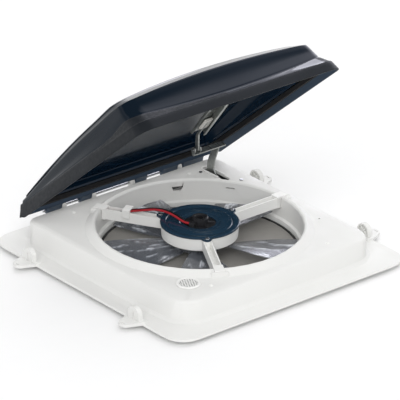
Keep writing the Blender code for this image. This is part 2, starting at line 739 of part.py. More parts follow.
def make_fan():
    hub = [
        (SHAFT_RADIUS + GAP, FAN_LOW),
        (12 * MM, FAN_LOW - 0.5 * MM),
        (30 * MM, FAN_LOW),
        (BLADE_ROOT, FAN_LOW + 4 * MM),
        (BLADE_ROOT, FAN_HIGH),
        (BLADE_ROOT - 2.4 * MM, FAN_HIGH),
        (BLADE_ROOT - 2.6 * MM, FAN_LOW + 5 * MM),
        (29 * MM, FAN_LOW + 2.6 * MM),
        (11 * MM, FAN_LOW + 2.6 * MM),
        (9 * MM, FAN_HIGH - 1 * MM),
        (SHAFT_RADIUS + GAP, FAN_HIGH - 1 * MM),
    ]
    fan = place("fan_rotor", turned_ring("fan_rotor", hub, 30), "fan_plastic")
    blades = []
    for i in range(BLADES):
        mesh = blade_mesh(BLADE_FIRST_ANGLE + 360 * i / BLADES)
        blades.append(cutter(f"blade_{i}", mesh))
    combine(fan, blades, "UNION")

    low = FAN_LOW - 4.2 * MM
    high = FAN_LOW - 0.9 * MM
    bore = SHAFT_RADIUS + 1 * MM
    nut = [(bore, low), (8 * MM, low), (8 * MM, high), (bore, high)]
    place("fan_nut", turned_ring("fan_nut", nut, 6), "bright_steel")


def make_screen():
    """The insect screen, held in the bottom of the throat by its frame."""
    outer = SCREEN_RADIUS
    frame = [
        (outer - 7 * MM, 0.4 * MM),
        (outer, 0.4 * MM),
        (outer, 3.4 * MM),
        (outer - 3 * MM, 3.4 * MM),
        (outer - 3 * MM, 1.3 * MM),
        (outer - 7 * MM, 1.3 * MM),
    ]
    place("screen_frame", turned_ring("screen_frame", frame, 48), "black_plastic")
    mesh = turned_solid("insect_screen", [(outer - 3.4 * MM, 1.6 * MM), (outer - 3.4 * MM, 2.0 * MM)], 48)
    place("insect_screen", mesh, "screen")


# Wiring -----------------------------------------------------------------------------------


def smooth_route(route, count):
    """Points along the Catmull-Rom curve through a route."""
    route = [Vector(p) for p in route]
    ends = [2 * route[0] - route[1], *route, 2 * route[-1] - route[-2]]
    spans = len(route) - 1
    points = []
    for i in range(count):
        place_on = spans * i / (count - 1)
        span = min(int(place_on), spans - 1)
        t = place_on - span
        a, b, c, d = ends[span : span + 4]
        points.append(
            0.5 * (2 * b + (c - a) * t + (2 * a - 5 * b + 4 * c - d) * t**2 + (3 * b - a - 3 * c + d) * t**3)
        )
    return points


def wire(name, route, radius, count, finish):
    curve = bpy.data.curves.new(name, "CURVE")
    curve.dimensions = "3D"
    curve.bevel_depth = radius
    curve.bevel_resolution = 2
    curve.use_fill_caps = True
    points = smooth_route(route, count)
    spline = curve.splines.new("POLY")
    spline.points.add(len(points) - 1)
    for point, target in zip(spline.points, points):
        point.co = (*target, 1)
    curve.materials.append(surface(finish))
    obj = bpy.data.objects.new(name, curve)
    bpy.context.scene.collection.objects.link(obj)


WIRE_RADIUS = 1.7 * MM
WIRE_APART = 2.1 * MM
WIRE_ROUTE = (
    (146.7, 0, 38),
    (134, 0, 38.3),
    (123, 0, 41.6),
    (113, 0, 45.3),
    (103, 0, 48.2),
    (93, 0, 50.6),
    (84, 0, 52.8),
    (75, -0.2, 54.8),
    (66, 0, 56),
    (57, 0.8, 56.2),
    (48, 3, 55.8),
    (39.5, 6, 55),
    (31.5, 9.6, 53.8),
    (24, 13, 52.2),
    (17, 15.4, 51),
    (10, 16, 50.7),
)


def lead_route(side):
    """A lead's way along the spoke at 120 degrees, over the cover's rim and down to the brush cap."""
    turn = Matrix.Rotation(math.radians(120), 3, "Z")
    route = [Vector(point) * MM for point in WIRE_ROUTE]
    beside = []
    for number, point in enumerate(route):
        way = route[min(number + 1, len(route) - 1)] - route[max(number - 1, 0)]
        across = Vector((way.y, -way.x, 0)).normalized()
        beside.append(turn @ (point + across * side * WIRE_APART))
    return beside


def make_wiring():
    clip = box("wire_clip", (108 * MM, -9.5 * MM, 37 * MM), (120 * MM, 9.5 * MM, SPOKE_TOP + 5.6 * MM))
    clip = place("wire_clip", turn_mesh(clip, 120), "white_trim")
    half = SPOKE_WIDE / 2 + GAP
    room = box("clip_room", (100 * MM, -half, 30 * MM), (130 * MM, half, SPOKE_TOP + GAP))
    tunnel = box("clip_tunnel", (100 * MM, -4.4 * MM, 40 * MM), (130 * MM, 4.4 * MM, SPOKE_TOP + 3.8 * MM))
    rooms = [cutter(f"cut_{mesh.name}", turn_mesh(mesh, 120)) for mesh in (room, tunnel)]
    combine(clip, rooms, "DIFFERENCE")
    wire("motor_lead_red", lead_route(1), WIRE_RADIUS, 32, "red_wire")
    wire("motor_lead_black", lead_route(-1), WIRE_RADIUS, 32, "black_wire")


# Lid --------------------------------------------------------------------------------------


def crown_height(x, y):
    """How high the lid's top stands above its rim."""
    along = min(max((LID_HALF - y - 15 * MM) / (307 * MM), 0), 1.1)
    rise = 1 - abs(1 - along) ** 1.7
    crown = CROWN * (1 - min(abs(x) / (176 * MM), 1) ** 2) * smooth_step(along, 0, 0.5)
    return LID_REAR_HEIGHT + (LID_FRONT_HEIGHT - LID_REAR_HEIGHT) * rise + crown


def lid_ring(front, side, rear, corner_front, corner_rear, height, pinch=0, flare=0):
    """A level of the lid, in millimetres in from its rim at the front, the sides and the rear.

    The height is in millimetres above the rim, or a function of (x, y) in metres. The pinch
    narrows the ring towards the front, and the flare widens it towards the rear.
    """
    half = LID_HALF + LID_SIDE_REACH - side * MM
    low = -LID_HALF + front * MM
    high = LID_HALF - rear * MM
    quarters = (
        (half, low, 1, -1, corner_front * MM, 8, -90),
        (half, high, 1, 1, corner_rear * MM, 4, 0),
        (-half, high, -1, 1, corner_rear * MM, 4, 90),
        (-half, low, -1, -1, corner_front * MM, 8, 180),
    )
    side_stops = (0.05, 0.25, 0.5, 0.75, 0.95)
    corners = [
        arc((x - sx * radius, y - sy * radius), radius, start, start + 90, steps)
        for x, y, sx, sy, radius, steps, start in quarters
    ]
    points = []
    for number, corner in enumerate(corners):
        points += corner
        (x, y), (end_x, end_y) = corner[-1], corners[(number + 1) % 4][0]
        points += [(x + (end_x - x) * stop, y + (end_y - y) * stop) for stop in side_stops]
    loop = []
    for x, y in points:
        narrowed = pinch * MM / half * smooth_step(-y, 10 * MM, 150 * MM)
        widened = flare * MM / half * smooth_step(y, -40 * MM, 170 * MM)
        x *= 1 - narrowed + widened
        rise = height(x, y) if callable(height) else height * MM
        loop.append((x, y, LID_RIM_Z + rise))
    return loop


def rim_height(x, y):
    """The rim is level, except that the rear skirt ends a little higher."""
    return LID_SKIRT_LIFT * smooth_step(y, 174 * MM, 184 * MM)


def top_share(share, less=0.0):
    return lambda x, y: crown_height(x, y) * share - less * MM


def lid_top(less):
    """The four innermost levels of the lid's top, this much below it."""
    return [
        lid_ring(50 + less / 2, 22 + less, 14 + less, 22, 10, top_share(1, less)),
        lid_ring(76, 70, 56, 24, 12, top_share(1, less)),
        lid_ring(112, 118, 104, 20, 10, top_share(1, less)),
        lid_ring(150, 156, 150, 12, 8, top_share(1, less)),
    ]


def lid_shell():
    """The lid's outer skin, then its inner one back to the rim."""
    outer = [
        lid_ring(0, 0, -0.6, 23, 4, rim_height),
        lid_ring(6, 2.5, 0.6, 22, 4, 16, flare=-4),
        lid_ring(13, 2.5, 0.6, 20, 4, 17.8, pinch=4, flare=-5),
        lid_ring(27, 9.5, 1.4, 17, 4, top_share(0.62), flare=-1),
        lid_ring(37, 13, 3, 16, 5, top_share(0.9), flare=-2),
        lid_ring(42, 16.5, 7, 17, 7, top_share(0.985), flare=-1),
        *lid_top(0),
    ]
    inner = [
        lid_ring(2.5, 2.5, 1.9, 21, 3.5, rim_height),
        lid_ring(8.5, 5, 3.1, 20, 3.5, 15.8, flare=-4),
        lid_ring(17.2, 17.2, 17.2, 20, 4, 16.4),
        lid_ring(17.8, 17.8, 17.8, 20, 4, 18.4),
        lid_ring(18.4, 18.4, 18.4, 20, 4, 19.4),
        lid_ring(31, 14, 6, 15, 3, lambda x, y: max(top_share(0.62, 1)(x, y), 20.6 * MM), flare=-1),
        lid_ring(40, 17, 8, 14, 4, top_share(0.88, 1.6), flare=-2),
        lid_ring(45, 20, 12, 15, 6, top_share(0.97, 2.2), flare=-1),
        *lid_top(2.6),
    ]
    return loop_grid("lid_shell", [*reversed(outer), *inner], closed=False)


def lid_lug(low, high):
    """A knuckle that reaches back and down from the lid's rear skirt to the hinge rod."""
    foot = LID_RIM_Z + LID_SKIRT_LIFT + 0.2 * MM
    outline = [(187 * MM, foot), (190 * MM, foot - 1.5 * MM)]
    outline += arc((HINGE_Y, HINGE_Z), KNUCKLE_RADIUS, -120, 110, 12)
    outline += [(187 * MM, LID_RIM_Z + 12 * MM)]
    return prism("lid_lug", outline, low, high, "x")


def track_point(s_shift, above):
    """A point on the shut lid along the rail's track, from the track's start, and above it."""
    c = math.cos(TRACK_SLOPE)
    s = math.sin(TRACK_SLOPE)
    y = LID_HALF - TRACK_START - s_shift * c + above * s
    z = LID_RIM_Z + TRACK_START_HEIGHT + s_shift * s + above * c
    return y, z


RAIL_FROM = 24 * MM
RAIL_TO = 122 * MM
RAIL_WEB = 19 * MM
RAIL_LEFT = 76 * MM
RAIL_RIGHT = 98.6 * MM
RAIL_SCREWS = (40 * MM, 106 * MM)
SHEET = 1.5 * MM


def rail_run(name, section, start=RAIL_FROM, end=RAIL_TO):
    """A section of (x, height above the track) points, run along the rail's track."""
    loops = [[(x, *track_point(along, above)) for x, above in section] for along in (start, end)]
    return loop_grid(name, loops, closed=False)


def boss_place(shift):
    y, z = track_point(shift, RAIL_WEB + SHEET + GAP)
    return (RAIL_LEFT + RAIL_RIGHT) / 2 - 1 * MM, y, z


def lid_boss(shift):
    """A post on the lid's underside that the rail is screwed to."""
    x, y, z = boss_place(shift)
    mesh = prism("lid_boss", circle((0, 0), 6 * MM, 16), 0, 60 * MM)
    mesh.transform(Matrix.Translation((x, y, z)) @ Matrix.Rotation(-TRACK_SLOPE, 4, "X"))
    return mesh


def lid_cap_trim():
    """Everything above the middle of the lid's top skin, which trims the posts to it."""
    upper = lid_top(1.4)
    high = [[(x, y, z + 80 * MM) for x, y, z in loop] for loop in upper]
    return loop_grid("trim", [*reversed(high), *upper], closed=False)


def make_lid(pivot):
    shift = Matrix.Translation((0, -HINGE_Y, -HINGE_Z))

    def local(mesh):
        mesh.transform(shift)
        return mesh

    lid = place("lid_dome", local(lid_shell()), "smoked_lid", pivot)
    added = []
    for i, (start, end) in enumerate(LID_KNUCKLES):
        added.append(cutter(f"lid_lug_{i}", local(lid_lug(start * MM, end * MM)), pivot))
    for i, shift_along in enumerate(RAIL_SCREWS):
        post = cutter(f"lid_post_{i}", local(lid_boss(shift_along)), pivot)
        combine(post, [cutter(f"lid_trim_{i}", local(lid_cap_trim()), pivot)], "DIFFERENCE")
        added.append(post)
    combine(lid, added, "UNION")
    hole = rod("lid_rod_hole", (-160 * MM, HINGE_Y, HINGE_Z), (160 * MM, HINGE_Y, HINGE_Z), ROD_RADIUS + GAP)
    removed = [cutter("cut_lid_rod", local(hole), pivot)]
    for i, shift_along in enumerate(RAIL_SCREWS):
        x, y, z = boss_place(shift_along)
        pilot = prism("pilot", circle((0, 0), 1.7 * MM, 12), -4 * MM, 8 * MM)
        pilot.transform(Matrix.Translation((x, y, z)) @ Matrix.Rotation(-TRACK_SLOPE, 4, "X"))
        removed.append(cutter(f"cut_post_{i}", local(pilot), pivot))
    combine(lid, removed, "DIFFERENCE")

    seal_loops = [
        lid_ring(8.2, 9, 6, 20, 4, 9),
        lid_ring(9.6, 10, 7, 19, 4, 15.3),
        lid_ring(16.5, 16.5, 16.5, 20, 4, 15.3),
        lid_ring(16.5, 16.5, 16.5, 20, 4, 9),
    ]
    place("lid_seal", local(loop_grid("lid_seal", seal_loops)), "foam", pivot)

    low = RAIL_WEB - 11 * MM
    section = [
        (RAIL_LEFT, RAIL_WEB - 3 * MM),
        (RAIL_LEFT + SHEET, RAIL_WEB - 3 * MM),
        (RAIL_LEFT + SHEET, RAIL_WEB),
        (RAIL_RIGHT - SHEET, RAIL_WEB),
        (RAIL_RIGHT - SHEET, low + SHEET),
        (RAIL_RIGHT - 5 * MM, low + SHEET),
        (RAIL_RIGHT - 5 * MM, low),
        (RAIL_RIGHT, low),
        (RAIL_RIGHT, RAIL_WEB + SHEET),
        (RAIL_LEFT, RAIL_WEB + SHEET),
    ]
    rail = place("lift_rail", local(rail_run("lift_rail", section)), "zinc_steel", pivot)
    ribs = []
    rib = [
        (RAIL_LEFT + 3 * MM, RAIL_WEB + 0.4 * MM),
        (RAIL_LEFT + 4.2 * MM, RAIL_WEB - 1.2 * MM),
        (RAIL_RIGHT - 4.2 * MM, RAIL_WEB - 1.2 * MM),
        (RAIL_RIGHT - 3 * MM, RAIL_WEB + 0.4 * MM),
    ]
    for i in range(6):
        at = RAIL_FROM + (8 + 15 * i) * MM
        if min(abs(at + 2 * MM - s) for s in RAIL_SCREWS) > 6 * MM:
            ribs.append(rail_run("rib", rib, at, at + 4 * MM))
    combine(rail, [cutter(f"rail_{i}", local(m), pivot) for i, m in enumerate(ribs)], "UNION")
    holes = []
    for i, shift_along in enumerate(RAIL_SCREWS):
        x, y, z = boss_place(shift_along)
        pilot = prism("pilot", circle((0, 0), 1.9 * MM, 12), -8 * MM, 3 * MM)
        pilot.transform(Matrix.Translation((x, y, z)) @ Matrix.Rotation(-TRACK_SLOPE, 4, "X"))
        holes.append(cutter(f"cut_rail_{i}", local(pilot), pivot))
        screw = screw_mesh("rail_screw", 3 * MM, 1.5 * MM, 1.4 * MM, 7 * MM)
        seat = Matrix.Translation((x, y, z)) @ Matrix.Rotation(-TRACK_SLOPE, 4, "X")
        screw.transform(seat @ Matrix.Translation((0, 0, -SHEET - GAP)) @ Matrix.Rotation(math.pi, 4, "X"))
        place(f"rail_screw_{i + 1}", local(screw), "bright_steel", pivot)
    combine(rail, holes, "DIFFERENCE")


# Lift -------------------------------------------------------------------------------------


def swung(y, z):
    """A point of the arm as it lies with the lid shut, taken to where it is with the lid open."""
    turn = LID_OPEN * ARM_RATIO
    y -= ARM_Y
    z -= ARM_Z
    return ARM_Y + y * math.cos(turn) + z * math.sin(turn), ARM_Z - y * math.sin(turn) + z * math.cos(turn)


PLATE_NEAR = swung(47.5 * MM, 38 * MM)
PLATE_FAR = swung(49 * MM, 49.5 * MM)


def arm_outline():
    """The arm's blade, seen along its shaft: with the lid shut it lies forward over the lip."""
    shut = [
        (118.4, 12.1),
        (124, 15.4),
        (124.7, 23.7),
        (121.5, 46),
        (114, 57.5),
        (101, 62.2),
        (87.5, 62.8),
        (68, 60.5),
        (54, 53),
    ]
    under = [
        (54.5, 46.8),
        (62, 49.2),
        (87.5, 49.4),
        (100.4, 47.3),
        (106.6, 40),
        (106.7, 26.8),
        (110.3, 16),
    ]
    return [
        *[swung(y * MM, z * MM) for y, z in shut],
        PLATE_FAR,
        PLATE_NEAR,
        *[swung(y * MM, z * MM) for y, z in under],
    ]


def make_lift(arm_pivot, slide_pivot):
    shift = Matrix.Translation((0, -ARM_Y, -ARM_Z))

    def local(mesh):
        mesh.transform(shift)
        return mesh

    half = ARM_THICK / 2
    plate = prism("lift_arm", arm_outline(), ARM_X - half, ARM_X + half, "x")
    arm = place("lift_arm", local(plate), "zinc_steel", arm_pivot)
    near = PLATE_NEAR
    far = PLATE_FAR
    along = Vector((far[0] - near[0], far[1] - near[1])).normalized()
    across = Vector((-along.y, along.x)) * 2 * MM
    inner = CLEVIS_X + CLEVIS_GAP / 2
    outer = CLEVIS_X - CLEVIS_GAP / 2

    def strip(length, raised=0.0):
        """A strip of the cross plate, from its near edge, this long towards its far edge."""
        start = Vector(near) + across * raised
        end = start + along * length
        return [tuple(start), tuple(start + across), tuple(end + across), tuple(end)]

    cheek = [
        tuple(Vector(near) + along * 0.2 * MM + across * 0.4),
        tuple(Vector(near) + along * 3.6 * MM + across * 0.4),
        (PIN_Y + 4.6 * MM, PIN_Z - 1 * MM),
        (PIN_Y + 3.4 * MM, PIN_Z + 3.2 * MM),
        (PIN_Y, PIN_Z + 4.6 * MM),
        (PIN_Y - 3.4 * MM, PIN_Z + 3.2 * MM),
        (PIN_Y - 4.6 * MM, PIN_Z - 1 * MM),
    ]
    parts = [
        prism("plate", strip(11 * MM), RAIL_RIGHT + 1 * MM, ARM_X + half - 0.3 * MM, "x"),
        prism("foot", strip(4 * MM, 0.02), outer - 2 * MM, RAIL_RIGHT + 3 * MM, "x"),
        prism("cheek", cheek, inner, inner + 2 * MM, "x"),
        prism("cheek", cheek, outer - 2 * MM, outer, "x"),
        rod("boss", (ARM_X - 4 * MM, ARM_Y, ARM_Z), (ARM_X + 4 * MM, ARM_Y, ARM_Z), 6.5 * MM),
    ]
    combine(arm, [cutter(f"arm_{i}", local(m), arm_pivot) for i, m in enumerate(parts)], "UNION")
    holes = [
        rod("hole", (ARM_X - 9 * MM, ARM_Y, ARM_Z), (ARM_X + 9 * MM, ARM_Y, ARM_Z), 3 * MM + GAP),
        rod("hole", (CLEVIS_X - 9 * MM, PIN_Y, PIN_Z), (CLEVIS_X + 9 * MM, PIN_Y, PIN_Z), 1.8 * MM + GAP),
    ]
    combine(arm, [cutter(f"cut_arm_{i}", local(m), arm_pivot) for i, m in enumerate(holes)], "DIFFERENCE")

    shaft = rod("arm_shaft", (ARM_X - 8 * MM, ARM_Y, ARM_Z), (GEAR_X + 10 * MM, ARM_Y, ARM_Z), 3 * MM)
    place("arm_shaft", local(shaft), "bright_steel", arm_pivot)
    place("worm_wheel", local(wheel_mesh()), "brass", arm_pivot)
    reach = CLEVIS_GAP / 2 + 3.4 * MM
    pin = rod("clevis_pin", (CLEVIS_X - reach, PIN_Y, PIN_Z), (CLEVIS_X + reach, PIN_Y, PIN_Z), 1.8 * MM, 12)
    place("clevis_pin", local(pin), "bright_steel", arm_pivot)

    make_slide(slide_pivot)
    make_gearbox()


def make_slide(pivot):
    """The strap from the clevis pin into the rail, with the nylon slider that runs there."""
    shut = Matrix.Translation((0, -HINGE_Y, -HINGE_Z))
    opened = Matrix.Rotation(-LID_OPEN, 4, "X")
    start_y, start_z = track_point(0, 0)
    pin = Vector((0, PIN_Y, PIN_Z))
    pin_on_lid = opened.inverted() @ (pin - Vector((0, HINGE_Y, HINGE_Z))) + Vector((0, HINGE_Y, HINGE_Z))

    def along_track(d, above):
        c = math.cos(TRACK_SLOPE)
        s = math.sin(TRACK_SLOPE)
        return -d * c + above * s, d * s + above * c

    outline = [
        along_track(-4 * MM, -3 * MM),
        along_track(3 * MM, -4.4 * MM),
        along_track(24 * MM, RAIL_WEB - 7.4 * MM),
        along_track(58 * MM, RAIL_WEB - 7.4 * MM),
        along_track(58 * MM, RAIL_WEB - 4.1 * MM),
        along_track(20 * MM, RAIL_WEB - 4.1 * MM),
        along_track(2 * MM, 4.4 * MM),
        along_track(-4 * MM, 3 * MM),
    ]
    strap = place("slide_strap", prism("slide_strap", outline, -1.4 * MM, 1.4 * MM, "x"), "zinc_steel", pivot)
    hole = rod("hole", (-5 * MM, 0, 0), (5 * MM, 0, 0), 1.8 * MM + GAP)
    combine(strap, [cutter("cut_strap", hole, pivot)], "DIFFERENCE")

    slider = [
        along_track(40 * MM, RAIL_WEB - 7.2 * MM),
        along_track(62 * MM, RAIL_WEB - 7.2 * MM),
        along_track(62 * MM, RAIL_WEB - 3.6 * MM),
        along_track(40 * MM, RAIL_WEB - 3.6 * MM),
    ]
    block = place("rail_slider", prism("rail_slider", slider, -6 * MM, 9.2 * MM, "x"), "nylon", pivot)
    room = [
        along_track(38 * MM, RAIL_WEB - 8 * MM),
        along_track(58.4 * MM, RAIL_WEB - 8 * MM),
        along_track(58.4 * MM, RAIL_WEB - 2.8 * MM),
        along_track(38 * MM, RAIL_WEB - 3 * MM),
    ]
    combine(block, [cutter("cut_slider", prism("room", room, -1.7 * MM, 1.7 * MM, "x"), pivot)], "DIFFERENCE")


def wheel_mesh():
    """A worm wheel with sixteen teeth."""
    teeth = 16
    outline = []
    for i in range(teeth):
        for part, radius in ((0, 0), (0.4, 1), (0.7, 1)):
            turn = math.tau * (i + part) / teeth
            r = GEAR_RADIUS - (1.6 * MM if radius == 0 else 0)
            outline.append((ARM_Y + r * math.cos(turn), ARM_Z + r * math.sin(turn)))
    bore = 3 * MM + GAP
    steps = [math.tau * i / len(outline) for i in range(len(outline))]
    inner = [(ARM_Y + bore * math.cos(turn), ARM_Z + bore * math.sin(turn)) for turn in steps]
    low = GEAR_X - 4 * MM
    high = GEAR_X + 4 * MM
    loops = [
        [(low, *p) for p in outline],
        [(high, *p) for p in outline],
        [(high, *p) for p in inner],
        [(low, *p) for p in inner],
    ]
    return loop_grid("worm_wheel", loops)


def make_gearbox():
    worm_y = ARM_Y + GEAR_RADIUS + WORM_RADIUS + GAP
    low_z = 7 * MM
    top_z = DECK_TOP - WALL - GAP
    outer_low = (GEAR_X - 6.5 * MM, ARM_Y - 14 * MM, low_z)
    outer_high = (GEAR_X + 6.5 * MM, worm_y + 8 * MM, top_z)
    housing = place("gearbox_housing", box("gearbox_housing", outer_low, outer_high), "black_plastic")
    inner_low = (GEAR_X - 4.7 * MM, ARM_Y - 12.2 * MM, low_z + 1.8 * MM)
    inner_high = (GEAR_X + 9 * MM, worm_y + 6.2 * MM, top_z - 0.8 * MM)
    removed = [
        box("room", inner_low, inner_high),
        rod("hole", (GEAR_X - 12 * MM, ARM_Y, ARM_Z), (GEAR_X + 12 * MM, ARM_Y, ARM_Z), 3 * MM + 2 * GAP),
        rod("hole", (GEAR_X, worm_y, 2 * MM), (GEAR_X, worm_y, 20 * MM), 2.5 * MM + 2 * GAP),
    ]
    combine(housing, [cutter(f"cut_gearbox_{i}", m) for i, m in enumerate(removed)], "DIFFERENCE")
    cover_low = (GEAR_X + 6.8 * MM, outer_low[1], low_z)
    cover_high = (GEAR_X + 8.8 * MM, outer_high[1], top_z)
    cover = place("gearbox_cover", box("gearbox_cover", cover_low, cover_high), "black_plastic")
    hole = rod("hole", (GEAR_X, ARM_Y, ARM_Z), (GEAR_X + 12 * MM, ARM_Y, ARM_Z), 3 * MM + 2 * GAP)
    combine(cover, [cutter("cut_cover", hole)], "DIFFERENCE")

    worm = rod("worm", (GEAR_X, worm_y, 3 * MM), (GEAR_X, worm_y, top_z - 1.4 * MM), 2.5 * MM)
    worm = place("lift_worm", worm, "bright_steel")
    teeth = [(r * MM, ARM_Z + z * MM) for z, r in worm_teeth()]
    profile = [(2.6 * MM, ARM_Z - 8 * MM), *teeth, (2.6 * MM, ARM_Z + 6.5 * MM)]
    thread = turned_solid("thread", profile, 8, (GEAR_X, worm_y))
    combine(worm, [cutter("worm_thread", thread)], "UNION")

    knob = [
        (2.5 * MM + GAP, 1 * MM),
        (11 * MM, 1 * MM),
        (11 * MM, 5.4 * MM),
        (9.5 * MM, 6.4 * MM),
        (2.5 * MM + GAP, 6.4 * MM),
    ]
    knob = place("lift_knob", turned_ring("lift_knob", knob, 20, (GEAR_X, worm_y)), "black_plastic")
    low = (GEAR_X - 1.6 * MM, worm_y - 10 * MM, 0.5 * MM)
    bar = box("bar", low, (GEAR_X + 1.6 * MM, worm_y - 4 * MM, 3 * MM))
    combine(knob, [cutter("knob_bar", bar)], "UNION")

    mesh = screw_mesh("gearbox_screw", 3 * MM, 1.4 * MM, 1.6 * MM, 3.4 * MM)
    for number, (x, y) in enumerate(gearbox_screw_places(), 1):
        screw = place(f"gearbox_screw_{number}", mesh.copy(), "bright_steel")
        screw.location = (x, y, DECK_TOP)


def worm_teeth():
    """The worm's thread, drawn as rings."""
    rings = []
    for i in range(4):
        z = -7 + 3.4 * i
        rings += [(z, 3.0), (z + 0.9, 4.3), (z + 1.7, 4.3), (z + 2.6, 3.0)]
    return rings


def make_hinge_rod():
    mesh = rod("hinge_rod", (-141 * MM, HINGE_Y, HINGE_Z), (130 * MM, HINGE_Y, HINGE_Z), ROD_RADIUS, 12)
    place("hinge_rod", mesh, "bright_steel")


def main():
    clear_scene()
    make_base()
    make_deck_fittings()
    make_bracket()
    make_motor_cover()
    make_motor()
    make_fan()
    make_screen()
    make_wiring()
    make_hinge_rod()
    make_lid(empty("lid_axis", (0, HINGE_Y, HINGE_Z), (-LID_OPEN, 0, 0)))
    arm_axis = empty("arm_axis", (0, ARM_Y, ARM_Z))
    slide_axis = empty("slide_axis", (CLEVIS_X, PIN_Y, PIN_Z), (-LID_OPEN, 0, 0))
    make_lift(arm_axis, slide_axis)


main()
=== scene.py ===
"""The look of the roof exhaust fan: a square white vent with a smoked lid raised over its fan."""

import json
import math

import bmesh
import bpy
from mathutils import Matrix, Vector

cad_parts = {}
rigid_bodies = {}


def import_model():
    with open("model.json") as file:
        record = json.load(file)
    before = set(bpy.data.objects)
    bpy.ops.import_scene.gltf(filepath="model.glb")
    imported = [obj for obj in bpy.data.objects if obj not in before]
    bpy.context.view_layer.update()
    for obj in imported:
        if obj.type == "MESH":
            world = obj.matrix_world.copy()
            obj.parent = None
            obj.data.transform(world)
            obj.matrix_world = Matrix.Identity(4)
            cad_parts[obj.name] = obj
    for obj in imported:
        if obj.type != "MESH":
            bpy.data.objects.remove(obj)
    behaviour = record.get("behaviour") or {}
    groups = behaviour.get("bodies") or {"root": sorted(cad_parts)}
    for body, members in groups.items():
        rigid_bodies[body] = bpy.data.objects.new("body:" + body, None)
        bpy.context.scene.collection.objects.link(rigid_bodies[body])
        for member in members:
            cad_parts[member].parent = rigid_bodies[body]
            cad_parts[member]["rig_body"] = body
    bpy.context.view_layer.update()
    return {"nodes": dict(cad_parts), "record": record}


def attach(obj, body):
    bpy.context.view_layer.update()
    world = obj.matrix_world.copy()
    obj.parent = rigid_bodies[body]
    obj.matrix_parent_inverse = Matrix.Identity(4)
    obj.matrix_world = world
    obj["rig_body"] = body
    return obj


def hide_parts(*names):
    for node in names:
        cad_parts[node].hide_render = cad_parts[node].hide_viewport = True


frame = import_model()
NODES = frame["nodes"]
MM = 0.001

# The camera's azimuth, elevation and roll in degrees, its place and its lens in mm.
CAMERA_TURNS = (-40.319, 24.941, 0.660)
CAMERA_PLACE = (-3.2196, -3.7936, 2.3965)
CAMERA_LENS = 335.24
FLOOR_Z = -7 * MM
FLOOR_REACH = 14

# The tent's colour, and the two suns that add to it.
TENT = (0.48, 0.48, 0.4848, 1)
KEY = 1.05
KEY_FROM = (0.50, 0.22, 0.84)
KEY_SPREAD = math.radians(64)
FILL = 1.6
FILL_FROM = (-0.52, -0.58, 0.62)
FILL_SPREAD = math.radians(50)

# What gloss mirrors: colours by height, level at 0 and straight up at 1, and a pale panel.
CEILING = (
    (0, (0.98, 0.98, 1)),
    (0.05, (0.8, 0.8, 0.832)),
    (0.12, (0.5, 0.5, 0.52)),
    (0.34, (0.9, 0.9, 0.936)),
    (0.50, (1.3, 1.3, 1.352)),
    (0.56, (0.03, 0.03, 0.0312)),
    (1, (0.02, 0.024, 0.034)),
)
PANEL_FROM_X = (0.52, 0.58)
PANEL_FROM_Y = (0, 0.15)
PANEL_GLOW = (2.6, 2.6, 2.9, 1)

# The lid turns about the hinge. Its skin and knuckles are drawn shut and then turned open.
# Each RUN is the stretch along Y over which a change comes in.
LID_OPEN = math.radians(40.3)
HINGE = Vector((0, 197, 33)) * MM
LID_TURN = Matrix.Translation(HINGE) @ Matrix.Rotation(-LID_OPEN, 4, "X") @ Matrix.Translation(-HINGE)
LID_HALF = 188 * MM
LID_SIDE_REACH = 2.5 * MM
LID_RIM_Z = 29.3 * MM
LID_REAR_HEIGHT = 31 * MM
LID_FRONT_HEIGHT = 61.5 * MM
LID_SLOPE_START = 15 * MM
LID_SLOPE_LENGTH = 307 * MM
LID_SLOPE_BEND = 1.7
CROWN = 10.5 * MM
CROWN_HALF = 176 * MM
BROW = 2 * MM
BROW_RUN = (60 * MM, 125 * MM)
FOOT_BOW = 6 * MM
FOOT_RISE = 10 * MM
FOOT_RUN = (80 * MM, 160 * MM)
PINCH_RUN = (10 * MM, 150 * MM)
FLARE_RUN = (-40 * MM, 170 * MM)
LID_SKIRT_LIFT = 4 * MM
LID_SKIRT_RUN = (174 * MM, 184 * MM)
KNUCKLE_RADIUS = 5 * MM
KNUCKLE_FOOT_Y = 186.4 * MM
KNUCKLE_FOOT_HEIGHT = 12 * MM
LID_KNUCKLES = ((-135, -108), (-72, -51), (34, 56), (87, 117), (128, 168))

# The lid's painted highlight, a copy of its gloss that mirrors far more: rows of faces counted down from
# its top, and how far back and out they go.
BROW_ROWS = range(18, 25)
BROW_REACH = -120 * MM
BROW_HALF = 164 * MM
SKIRT_ROWS = 2
LID_SHINE = 0.12
HIGHLIGHT_SHINE = 0.9

DECK_TOP = 37.3 * MM
DECK_SCREW_X = 112 * MM
DECK_SCREW_Y = 158 * MM
COVER_TOP = 49 * MM
COVER_SCREW_SINK = 0.8 * MM
COVER_LUG_RADIUS = 62.5 * MM
SCREW_RADIUS = 3 * MM
SCREW_SIDES = 24
SENSOR = (-133.5 * MM, -133.5 * MM)
WELD = 0.02 * MM
FLAT = math.radians(1.2)


# Camera, floor and light ------------------------------------------------------------------


